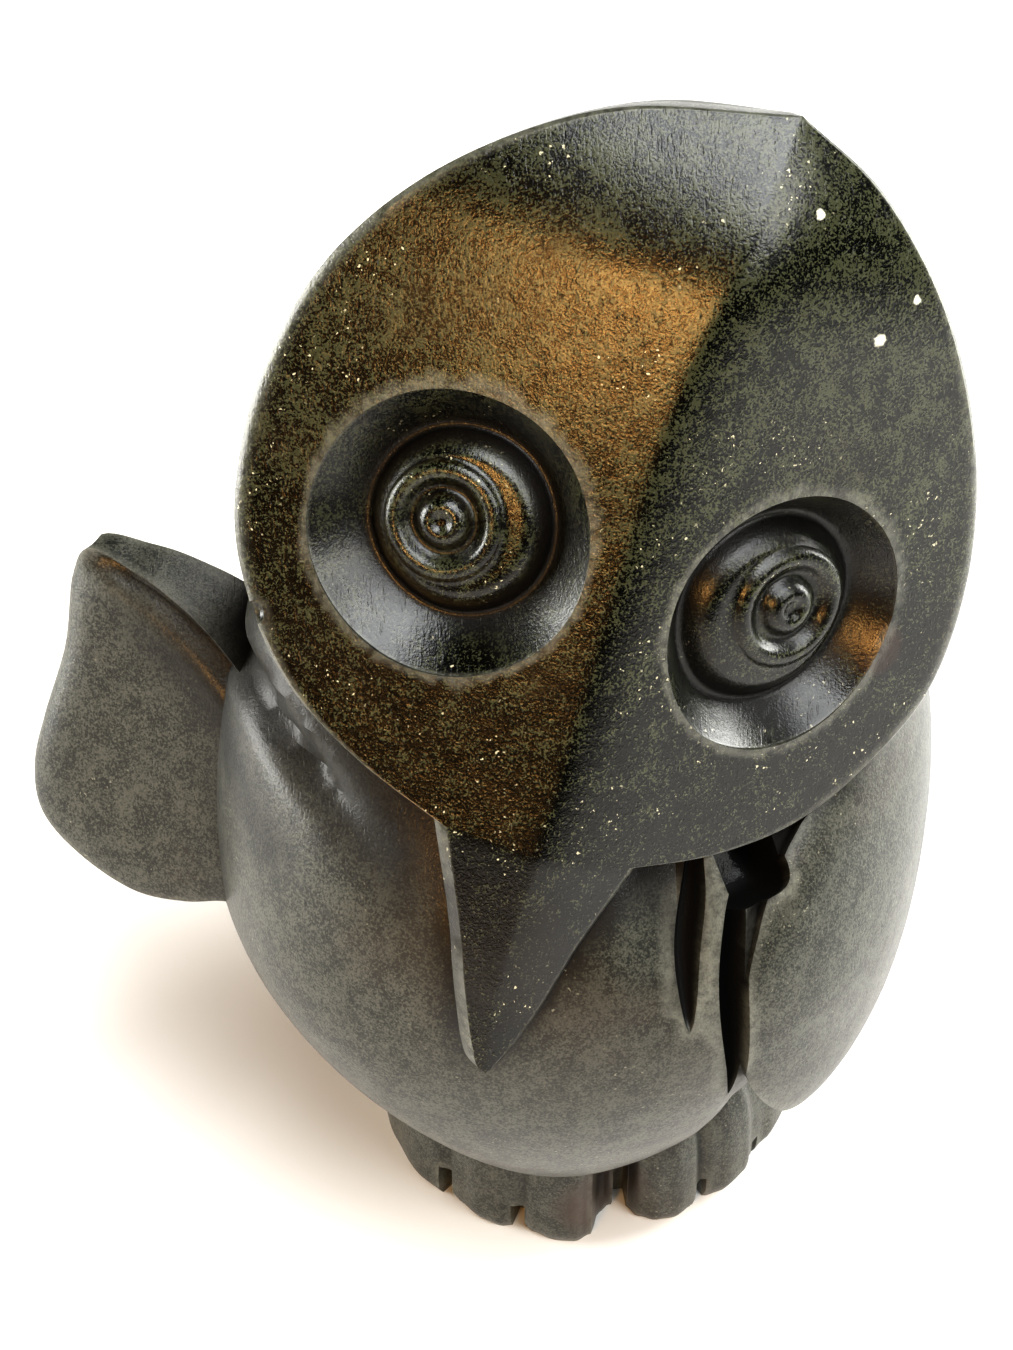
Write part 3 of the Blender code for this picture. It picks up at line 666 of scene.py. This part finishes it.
def carve_owl():
    """Every form joined and cut into one mesh. Returns the mesh object and the head's frame."""
    whole = new_collection("Fine carving")
    breast_cuts = new_collection("Fine breast cuts")
    eye_cuts = new_collection("Fine eye cuts")
    forms = new_collection("Fine forms joined to the body")
    heads = new_collection("Fine head joined last")
    ground_cuts = new_collection("Fine ground and toe cuts")

    groove_cutter("fine_breast_groove", BREAST_GROOVE, BREAST_GROOVE_SIZE, breast_cuts)
    groove_cutter("fine_wing_groove", WING_GROOVE, WING_GROOVE_SIZE, breast_cuts)
    armpit = on_breast(ARMPIT_BEARING, ARMPIT_HEIGHT)
    pocket("fine_armpit", armpit, (*ARMPIT_TURN, ARMPIT_BEARING), ARMPIT_HALF_SIZES, breast_cuts)

    to_bird = head_frame()
    for eye in EYES:
        eye_cutter(eye, eye_frame(to_bird, eye.up * HEAD_LENGTH, eye.across * HEAD_LENGTH), eye_cuts)
    for number, (up, across, radius) in enumerate(RIM_CHIPS, 1):
        spot = Vector((across * HEAD_LENGTH, -face_out(up * HEAD_LENGTH, across * HEAD_LENGTH), up * HEAD_LENGTH))
        ball(f"fine_rim_chip_{number}", to_bird @ spot, radius, CHIP_FINENESS, eye_cuts)
    join_or_cut(head(to_bird, heads), "carve eyes", "DIFFERENCE", eye_cuts)

    folded_wing(forms)
    raised_wing(forms)
    tail(forms)
    feet(forms)
    for name, bearing, width, nearest, height in FEET_CUTS:
        upright_cut("fine_" + name, bearing, width, nearest, height, ground_cuts)
    ground = block("fine_ground", (CUTTER_OVERSIZE * 2,) * 3, ground_cuts)
    ground.location.z = -CUTTER_OVERSIZE

    carving = body_egg(whole)
    join_or_cut(carving, "join forms", "UNION", forms)
    join_or_cut(carving, "carve breast", "DIFFERENCE", breast_cuts)
    join_or_cut(carving, "join head", "UNION", heads)
    join_or_cut(carving, "flatten underside", "DIFFERENCE", ground_cuts)

    bpy.context.view_layer.update()
    graph = bpy.context.evaluated_depsgraph_get()
    mesh = bpy.data.meshes.new_from_object(carving.evaluated_get(graph))
    owl = bpy.data.objects.new("carved_owl", mesh)
    bpy.context.scene.collection.objects.link(owl)
    for helpers in (whole, breast_cuts, eye_cuts, forms, heads, ground_cuts):
        for helper in list(helpers.objects):
            bpy.data.objects.remove(helper)
        bpy.data.collections.remove(helpers)
    return owl, to_bird


def tidy_mesh(obj):
    shape = bmesh.new()
    shape.from_mesh(obj.data)
    bmesh.ops.remove_doubles(shape, verts=shape.verts, dist=MERGE_DISTANCE)
    bmesh.ops.triangulate(shape, faces=shape.faces)
    bmesh.ops.dissolve_degenerate(shape, edges=shape.edges, dist=MERGE_DISTANCE)
    bmesh.ops.triangulate(shape, faces=shape.faces)
    shape.to_mesh(obj.data)
    shape.free()


def inside_outline(points, outline):
    """Which of the points (n, 2) lie inside a closed outline (m, 2)."""
    inside = np.zeros(len(points), bool)
    for first, second in zip(outline, np.roll(outline, -1, axis=0)):
        if first[1] == second[1]:
            continue
        spans = (first[1] > points[:, 1]) != (second[1] > points[:, 1])
        crossing = (second[0] - first[0]) * (points[:, 1] - first[1]) / (second[1] - first[1]) + first[0]
        inside ^= spans & (points[:, 0] < crossing)
    return inside


def spread(values, edges, times):
    """Blurs a value at each point over the mesh's edges."""
    for _ in range(times):
        total = values.copy()
        count = np.ones(len(values))
        for one, other in ((0, 1), (1, 0)):
            np.add.at(total, edges[:, one], values[edges[:, other]])
            np.add.at(count, edges[:, one], 1)
        values = total / count
    return values


def sheltered_share(mesh, points):
    """How much of what lies above each point is closed off by stone near it: high in grooves and crevices. It is used
    only to paint shade into the colour there.
    """
    tree = BVHTree.FromPolygons([tuple(p) for p in points], [tuple(f.vertices) for f in mesh.polygons])
    rays = []
    for index in range(SHELTER_RAYS):
        height = 1 - (2 * index + 1) / SHELTER_RAYS
        turn = index * math.pi * (3 - math.sqrt(5))
        across = math.sqrt(1 - height * height)
        rays.append(Vector((across * math.cos(turn), across * math.sin(turn), height)))
    shares = np.zeros(len(points))
    for vertex in mesh.vertices:
        normal = vertex.normal
        start = vertex.co + normal * SHELTER_LIFT
        met = 0
        for ray in rays:
            way = ray if ray.dot(normal) > 0 else -ray
            if tree.ray_cast(start, way, SHELTER_REACH)[0] is not None:
                met += 1
        shares[vertex.index] = met / SHELTER_RAYS
    return shares


def in_wing_band(points):
    """Where the painted shade band runs: under the raised wing's crease and on over the shoulder."""
    to_wing = np.array(raised_frame().inverted())
    local = points @ to_wing[:3, :3].T + to_wing[:3, 3]
    out, up, deep = -local[:, 0], local[:, 2], local[:, 1]
    crease = RAISED_FACE[0][1] - RAISED_CREASE_FALL * (RAISED_FACE[0][0] - out)
    below = crease - up
    on_wing = (below > 0.0006) & (below < 0.0052) & (deep < 0.0030) & (out > -0.0120)
    band = on_wing.astype(float) * np.clip((RAISED_FACE[0][0] - out) / 0.010, 0.0, 1.0)
    for index in np.flatnonzero((points[:, 1] < 0.0) & (points[:, 0] < 0.010)):
        x, y, z = points[index]
        bearing = math.degrees(math.atan2(x - BODY.across, -y))
        path = SHOULDER_HOLLOW
        if path[0][0] - 2 < bearing < path[-1][0] + 6:
            height = np.interp(bearing, [p[0] for p in path], [p[1] for p in path])
            away = z - height
            width = 0.0050 if away < 0 else 0.0060
            fade = 1 - np.clip((bearing - path[-1][0]) / 6, 0.0, 1.0)
            band[index] = max(band[index], fade * (1 - min(1.0, abs(away) / width) ** 3))
    return band


def mark_surface(obj, to_bird):
    """Stores on each point how polished the stone is, how pale its edges are (partly wear, partly a painted highlight)
    and how much painted shade its creases, hollows and the band under the raised wing get.
    """
    mesh = obj.data
    count = len(mesh.vertices)
    points = np.empty(count * 3)
    mesh.vertices.foreach_get("co", points)
    points = points.reshape(-1, 3)
    to_head = np.array(to_bird.inverted())
    local = points @ to_head[:3, :3].T + to_head[:3, 3]
    steps = [i / 90 for i in range(91)]
    edges = [face_edges(step) for step in steps]
    outline = [(left.y, left.x) for left, _ in edges] + [(right.y, right.x) for _, right in reversed(edges)]
    on_face = inside_outline(local[:, [0, 2]] * 0.999, np.array(outline))
    near = np.flatnonzero(on_face)
    for index in near:
        across, out, up = local[index]
        depth = -out - face_out(up, across)
        on_face[index] = -0.0045 < depth < 0.0010
    pairs = np.empty(len(mesh.edges) * 2, int)
    mesh.edges.foreach_get("vertices", pairs)
    pairs = pairs.reshape(-1, 2)

    shape = bmesh.new()
    shape.from_mesh(mesh)
    worn_edge_and_highlight, painted_crease_shade = np.zeros(count), np.zeros(count)
    # Convex edges mark pale edges, partly wear and partly a painted highlight; concave edges mark painted shade in the
    # creases.
    for edge in shape.edges:
        if len(edge.link_faces) != 2:
            continue
        bend = edge.calc_face_angle_signed(0.0)
        ends = [vertex.index for vertex in edge.verts]
        for target, value in ((worn_edge_and_highlight, bend), (painted_crease_shade, -bend)):
            for end in ends:
                target[end] = max(target[end], min(1.0, value / math.radians(50)))
        edge.smooth = abs(bend) < SHARP_ANGLE
    for face in shape.faces:
        face.smooth = True
    shape.to_mesh(mesh)
    shape.free()

    # Stored marks: polish; pale edges, partly wear and partly a painted highlight; painted shade in concave creases
    # and the band under the raised wing; and the closed-off share, which the material also paints as shade.
    for name, values in (
        ("polish", spread(on_face.astype(float), pairs, 2)),
        ("worn_edge_and_highlight", spread(np.clip(worn_edge_and_highlight - 0.30, 0, 1), pairs, 1)),
        ("painted_crease_shade", spread(np.maximum(np.clip(painted_crease_shade - 0.20, 0, 1), 0.9 * in_wing_band(points)), pairs, 3)),
        ("sheltered", spread(sheltered_share(mesh, points), pairs, 2)),
    ):
        layer = mesh.attributes.new(name, "FLOAT", "POINT")
        layer.data.foreach_set("value", values.astype(np.float32))


def hand_finish(obj):
    """Soft unevenness that the hand leaves: two sizes of waves, pushed along the surface's normals."""
    tree = bpy.data.node_groups.new("hand finish", "GeometryNodeTree")
    tree.interface.new_socket("Carving", in_out="INPUT", socket_type="NodeSocketGeometry")
    sizes = {}
    for name, value in (
        ("Wide wave depth", 0.00022),
        ("Wide waves per metre", 55.0),
        ("Small wave depth", 0.00006),
        ("Small waves per metre", 260.0),
    ):
        socket = tree.interface.new_socket(name, in_out="INPUT", socket_type="NodeSocketFloat")
        socket.default_value = value
        sizes[name] = (socket.identifier, value)
    tree.interface.new_socket("Carving", in_out="OUTPUT", socket_type="NodeSocketGeometry")
    nodes, links = tree.nodes, tree.links
    given = nodes.new("NodeGroupInput")
    result = nodes.new("NodeGroupOutput")
    normal = nodes.new("GeometryNodeInputNormal")
    pushes = []
    for depth, density, detail in (
        ("Wide wave depth", "Wide waves per metre", 1.0),
        ("Small wave depth", "Small waves per metre", 2.0),
    ):
        waves = nodes.new("ShaderNodeTexNoise")
        waves.inputs["Detail"].default_value = detail
        links.new(given.outputs[density], waves.inputs["Scale"])
        centred = nodes.new("ShaderNodeMath")
        centred.operation = "SUBTRACT"
        centred.inputs[1].default_value = 0.5
        links.new(waves.outputs[0], centred.inputs[0])
        amount = nodes.new("ShaderNodeMath")
        amount.operation = "MULTIPLY"
        links.new(centred.outputs[0], amount.inputs[0])
        links.new(given.outputs[depth], amount.inputs[1])
        pushes.append(amount)
    total = nodes.new("ShaderNodeMath")
    total.operation = "ADD"
    links.new(pushes[0].outputs[0], total.inputs[0])
    links.new(pushes[1].outputs[0], total.inputs[1])
    position = nodes.new("GeometryNodeInputPosition")
    split = nodes.new("ShaderNodeSeparateXYZ")
    links.new(position.outputs[0], split.inputs[0])
    above = nodes.new("FunctionNodeCompare")
    above.data_type = "FLOAT"
    above.operation = "GREATER_THAN"
    above.inputs["B"].default_value = 0.0004
    links.new(split.outputs["Z"], above.inputs["A"])
    along = nodes.new("ShaderNodeVectorMath")
    along.operation = "SCALE"
    links.new(normal.outputs[0], along.inputs[0])
    links.new(total.outputs[0], along.inputs["Scale"])
    move = nodes.new("GeometryNodeSetPosition")
    links.new(given.outputs["Carving"], move.inputs["Geometry"])
    links.new(above.outputs[0], move.inputs["Selection"])
    links.new(along.outputs[0], move.inputs["Offset"])
    realize = nodes.new("GeometryNodeRealizeInstances")
    links.new(move.outputs[0], realize.inputs[0])
    stone = nodes.new("GeometryNodeSetMaterial")
    stone.inputs["Material"].default_value = obj.data.materials[0]
    links.new(realize.outputs[0], stone.inputs["Geometry"])
    links.new(stone.outputs[0], result.inputs[0])
    modifier = obj.modifiers.new("hand finish", "NODES")
    modifier.node_group = tree
    for identifier, value in sizes.values():
        modifier[identifier] = value
    bpy.context.view_layer.update()
    graph = bpy.context.evaluated_depsgraph_get()
    finished = bpy.data.meshes.new_from_object(obj.evaluated_get(graph))
    obj.modifiers.remove(modifier)
    obj.data = finished


class Nodes:
    """Short ways to add and link shader nodes."""

    def __init__(self, material):
        material.use_nodes = True
        self.tree = material.node_tree
        self.shader = self.tree.nodes["Principled BSDF"]
        self.where = self.tree.nodes.new("ShaderNodeTexCoord").outputs["Object"]

    def link(self, source, target):
        if isinstance(source, (int, float)):
            target.default_value = source
        elif isinstance(source, tuple):
            target.default_value = source if len(source) == 4 else (*source, 1.0)
        else:
            self.tree.links.new(source, target)

    def noise(self, per_metre, detail=3.0, roughness=0.55, where=None, distortion=0.0):
        node = self.tree.nodes.new("ShaderNodeTexNoise")
        self.link(where or self.where, node.inputs["Vector"])
        node.inputs["Scale"].default_value = per_metre
        node.inputs["Detail"].default_value = detail
        node.inputs["Roughness"].default_value = roughness
        node.inputs["Distortion"].default_value = distortion
        return node.outputs["Fac"]

    def cells(self, per_metre, feature="F1", randomness=1.0, where=None):
        node = self.tree.nodes.new("ShaderNodeTexVoronoi")
        node.feature = feature
        self.link(where or self.where, node.inputs["Vector"])
        node.inputs["Scale"].default_value = per_metre
        node.inputs["Randomness"].default_value = randomness
        return node

    def mapped(self, turn=(0, 0, 0), scale=(1, 1, 1), shift=(0, 0, 0)):
        node = self.tree.nodes.new("ShaderNodeMapping")
        self.link(self.where, node.inputs["Vector"])
        node.inputs["Rotation"].default_value = turn
        node.inputs["Scale"].default_value = scale
        node.inputs["Location"].default_value = shift
        return node.outputs["Vector"]

    def ramp(self, source, low, high, to_low=0.0, to_high=1.0):
        node = self.tree.nodes.new("ShaderNodeMapRange")
        node.interpolation_type = "SMOOTHSTEP"
        self.link(source, node.inputs["Value"])
        for name, value in (("From Min", low), ("From Max", high), ("To Min", to_low), ("To Max", to_high)):
            node.inputs[name].default_value = value
        return node.outputs["Result"]

    def math(self, operation, first, second=0.0):
        node = self.tree.nodes.new("ShaderNodeMath")
        node.operation = operation
        self.link(first, node.inputs[0])
        self.link(second, node.inputs[1])
        return node.outputs[0]

    def mix(self, share, first, second):
        node = self.tree.nodes.new("ShaderNodeMix")
        node.data_type = "RGBA"
        self.link(share, node.inputs["Factor"])
        self.link(first, node.inputs["A"])
        self.link(second, node.inputs["B"])
        return node.outputs["Result"]

    def shaken(self, distance, per_metre):
        """The place, shaken a little, which makes the edges of specks and marks ragged."""
        noise = self.tree.nodes.new("ShaderNodeTexNoise")
        self.link(self.where, noise.inputs["Vector"])
        noise.inputs["Scale"].default_value = per_metre
        noise.inputs["Detail"].default_value = 2.0
        centred = self.tree.nodes.new("ShaderNodeVectorMath")
        centred.operation = "SUBTRACT"
        self.link(noise.outputs["Color"], centred.inputs[0])
        centred.inputs[1].default_value = (0.5, 0.5, 0.5)
        move = self.tree.nodes.new("ShaderNodeVectorMath")
        move.operation = "MULTIPLY_ADD"
        self.link(centred.outputs[0], move.inputs[0])
        move.inputs[1].default_value = (distance * 4,) * 3
        self.link(self.where, move.inputs[2])
        return move.outputs[0]

    def spot(self, middle, radius, where):
        node = self.tree.nodes.new("ShaderNodeVectorMath")
        node.operation = "DISTANCE"
        self.link(where, node.inputs[0])
        node.inputs[1].default_value = middle
        return self.ramp(node.outputs["Value"], radius * 0.7, radius * 1.2, 0.9, 0.0)

    def height(self):
        split = self.tree.nodes.new("ShaderNodeSeparateXYZ")
        self.link(self.where, split.inputs[0])
        return split.outputs["Z"]

    def stored(self, name):
        node = self.tree.nodes.new("ShaderNodeAttribute")
        node.attribute_name = name
        return node.outputs["Fac"]

    def bump(self, height, strength, distance, under=None):
        node = self.tree.nodes.new("ShaderNodeBump")
        self.link(height, node.inputs["Height"])
        self.link(strength, node.inputs["Strength"])
        node.inputs["Distance"].default_value = distance
        if under is not None:
            self.link(under, node.inputs["Normal"])
        return node.outputs["Normal"]


def soapstone():
    """Dark green-black stone with olive mottle and brown clouds: darker and glossier on the polished face. Painted
    glints, painted shade in creases, in hollows and low on the face, and pale edges that are partly wear and partly a
    painted highlight are put into its colour.
    """
    material = bpy.data.materials.new("waxed soapstone")
    n = Nodes(material)
    polish, worn_edge_and_highlight, painted_crease_shade = n.stored("polish"), n.stored("worn_edge_and_highlight"), n.stored("painted_crease_shade")

    # The closed-off share, used below as painted shade.
    sheltered = n.stored("sheltered")
    fine = n.noise(4600, 2.0, 0.6)
    grain = n.noise(2300, 3.0, 0.65)
    mottle = n.noise(420, 4.0, 0.62)
    clouds = n.noise(38, 3.0, 0.5, distortion=0.6)
    # Painted shade and light: the face gets darker towards its lower part and lighter towards the crown.
    painted_height_shade = n.ramp(n.height(), 0.060, 0.105, -0.070, 0.025)
    pattern = n.math("ADD", n.math("MULTIPLY", grain, 0.5), n.math("MULTIPLY", fine, 0.5))
    pattern = n.math("ADD", pattern, n.math("MULTIPLY", n.math("SUBTRACT", mottle, 0.5), 0.45))
    pattern = n.math("ADD", pattern, n.math("MULTIPLY", painted_height_shade, polish))
    face = n.mix(n.ramp(pattern, 0.485, 0.575), (0.0010, 0.0013, 0.0007), (0.048, 0.053, 0.029))
    face = n.mix(n.ramp(clouds, 0.50, 0.70, 0.0, 0.45), face, (0.009, 0.0055, 0.0030))
    body = n.mix(n.ramp(pattern, 0.38, 0.62), (0.011, 0.012, 0.009), (0.070, 0.073, 0.058))
    body = n.mix(n.ramp(clouds, 0.50, 0.75, 0.0, 0.40), body, (0.056, 0.042, 0.030))
    colour = n.mix(polish, body, face)
    colour = n.mix(n.ramp(fine, 0.62, 0.72, 0.0, 0.35), colour, (0.13, 0.135, 0.085))

    patches = n.noise(120, 3.0, 0.6)
    shaken = n.shaken(0.00016, 2600)
    # Painted glints: small clustered pale-gold spots in the colour stand in for sparkling highlights, most of them on
    # the face.
    painted_glint_cells = n.cells(1900, where=shaken)
    painted_glint = n.math("MULTIPLY", n.ramp(painted_glint_cells.outputs["Distance"], 0.20, 0.28, 1.0, 0.0), n.ramp(patches, 0.52, 0.60))
    painted_glint = n.math("MULTIPLY", painted_glint, n.ramp(n.noise(1500, 1.0), 0.58, 0.62))
    painted_glint = n.math("MULTIPLY", painted_glint, n.ramp(polish, 0.0, 1.0, 0.25, 0.85))
    colour = n.mix(painted_glint, colour, (0.60, 0.58, 0.42))
    for middle, radius, tint in MARKS:
        colour = n.mix(n.spot(middle, radius, shaken), colour, tint)

    # Pale sharp edges: partly wear and partly a painted highlight along the edges.
    edge_wear_and_highlight = n.math("MULTIPLY", worn_edge_and_highlight, n.ramp(n.noise(900, 2.0), 0.30, 0.60, 0.45, 1.0))
    colour = n.mix(n.math("MULTIPLY", edge_wear_and_highlight, 0.70), colour, (0.34, 0.35, 0.30))
    # Painted shade: the colour goes near black in concave creases, in the band under the raised wing's crease and
    # where nearby stone closes each point off.
    painted_shade = n.math("MAXIMUM", n.math("MULTIPLY", painted_crease_shade, 0.93), n.ramp(sheltered, 0.12, 0.62))
    colour = n.mix(painted_shade, colour, (0.0020, 0.0016, 0.0010))
    n.link(colour, n.shader.inputs["Base Color"])

    scratches = []
    for turn, shift in (((0.3, 0.5, 0.9), 0.0), ((1.1, -0.4, 2.1), 5.0), ((-0.7, 1.3, 0.2), 9.0)):
        where = n.mapped(turn=turn, scale=(1.0, 0.06, 0.35), shift=(shift, 0, 0))
        scratches.append(n.ramp(n.noise(2600, 2.0, 0.5, where=where), 0.62, 0.74))
    scratched = n.math("ADD", n.math("ADD", scratches[0], scratches[1]), scratches[2])

    rough = n.ramp(n.noise(70, 3.0), 0.35, 0.70, 0.0, 0.08)
    rough = n.math("ADD", rough, n.ramp(polish, 0.0, 1.0, 0.42, 0.20))
    rough = n.math("ADD", rough, n.math("MULTIPLY", scratched, 0.04))
    rough = n.math("ADD", rough, n.math("MULTIPLY", edge_wear_and_highlight, 0.10))
    rough = n.math("ADD", rough, n.math("MULTIPLY", painted_shade, 0.25))
    n.link(rough, n.shader.inputs["Roughness"])
    n.shader.inputs["IOR"].default_value = 1.50
    n.shader.inputs["Specular IOR Level"].default_value = 0.46
    n.shader.inputs["Coat Weight"].default_value = 0.25
    n.shader.inputs["Coat Roughness"].default_value = 0.12

    height = n.math("ADD", n.math("MULTIPLY", grain, 0.9), n.math("MULTIPLY", scratched, -0.35))
    height = n.math("ADD", height, n.math("MULTIPLY", fine, 0.45))
    height = n.math("ADD", height, n.math("MULTIPLY", n.noise(650, 3.0, 0.6), 0.6))
    n.link(n.bump(height, 1.0, 0.000034), n.shader.inputs["Normal"])
    n.link(n.bump(height, 1.0, 0.000030), n.shader.inputs["Coat Normal"])
    return material


def plain_material(name, colour, roughness):
    material = bpy.data.materials.new(name)
    n = Nodes(material)
    tone = n.ramp(n.noise(4, 2.0), 0.3, 0.7, 0.0, 1.0)
    n.link(n.mix(tone, colour, tuple(c * 0.985 for c in colour)), n.shader.inputs["Base Color"])
    n.shader.inputs["Roughness"].default_value = roughness
    return material


def floor():
    shape = bmesh.new()
    bmesh.ops.create_grid(shape, x_segments=8, y_segments=8, size=1.6)
    mesh = bpy.data.meshes.new("pale_floor")
    shape.to_mesh(mesh)
    shape.free()
    obj = bpy.data.objects.new("pale_floor", mesh)
    bpy.context.scene.collection.objects.link(obj)
    obj.location.z = -0.0001
    mesh.materials.append(plain_material("pale floor", (0.88, 0.88, 0.87), 0.6))
    return obj


def lamp(name, place, aim, size, power, colour):
    data = bpy.data.lights.new(name, "AREA")
    data.shape = "ELLIPSE"
    data.size, data.size_y = size
    data.energy = power
    data.color = colour
    obj = bpy.data.objects.new(name, data)
    obj.location = place
    obj.rotation_euler = (Vector(aim) - Vector(place)).to_track_quat("-Z", "Y").to_euler()
    bpy.context.scene.collection.objects.link(obj)
    return obj


def light_scene():
    lamp("overhead_panel", (0.136, -0.235, 0.837), (0.0, 0.0, 0.05), (0.62, 0.62), 6.6, (0.97, 0.99, 1.0))
    lamp("warm_panel", (-0.25, -0.56, 0.37), (0.003, -0.007, 0.100), (0.30, 0.18), 0.40, (1.0, 0.56, 0.24))
    lamp("warm_lamp", (-0.221, -0.546, 0.380), (0.003, -0.007, 0.112), (0.14, 0.12), 1.0, (1.0, 0.55, 0.18))
    lamp("front_right_panel", (0.48, -0.43, 0.55), (0.0, -0.01, 0.08), (0.42, 0.36), 2.2, (1.0, 1.0, 0.97))
    lamp("right_panel", (0.60, 0.30, 0.20), (0.02, 0.0, 0.04), (0.40, 0.50), 6.5, (1.0, 1.0, 0.97))
    lamp("left_panel", (-0.65, 0.02, 0.14), (-0.03, 0.0, 0.03), (0.40, 0.40), 4.5, (1.0, 1.0, 0.97))
    lamp("back_panel", (0.33, 0.40, 0.70), (-0.03, 0.0, 0.06), (0.35, 0.35), 1.3, (1.0, 1.0, 0.98))
    world = bpy.data.worlds.new("soft studio")
    world.use_nodes = True
    tree = world.node_tree
    rays = tree.nodes.new("ShaderNodeLightPath")
    seen = tree.nodes.new("ShaderNodeMath")
    seen.operation = "MULTIPLY_ADD"
    tree.links.new(rays.outputs["Is Camera Ray"], seen.inputs[0])
    seen.inputs[1].default_value = WORLD_SEEN
    seen.inputs[2].default_value = WORLD_REFLECTED
    soft = tree.nodes.new("ShaderNodeMath")
    soft.operation = "MULTIPLY_ADD"
    tree.links.new(rays.outputs["Is Diffuse Ray"], soft.inputs[0])
    soft.inputs[1].default_value = WORLD_SOFT_LIGHT
    tree.links.new(seen.outputs[0], soft.inputs[2])
    tree.links.new(soft.outputs[0], tree.nodes["Background"].inputs["Strength"])
    bpy.context.scene.world = world


def set_camera():
    data = bpy.data.cameras.new("camera")
    data.lens = CAMERA_LENS
    data.sensor_width = 36.0
    data.sensor_fit = "AUTO"
    data.clip_start = 0.01
    obj = bpy.data.objects.new("camera", data)
    looking = Vector((0, math.cos(CAMERA_ELEVATION), -math.sin(CAMERA_ELEVATION)))
    obj.location = CAMERA_TARGET - looking * CAMERA_DISTANCE
    obj.rotation_euler = (math.pi / 2 - CAMERA_ELEVATION, 0, 0)
    bpy.context.scene.collection.objects.link(obj)
    bpy.context.scene.camera = obj


set_camera()
owl, to_bird = carve_owl()
tidy_mesh(owl)
owl.data.materials.clear()
owl.data.materials.append(soapstone())
hand_finish(owl)
mark_surface(owl, to_bird)
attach(owl, "root")
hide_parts("soapstone_owl")
floor()
light_scene()
bpy.context.scene.view_settings.view_transform = "Standard"
bpy.context.scene.view_settings.look = "High Contrast"

print("triangles", len(owl.data.polygons))
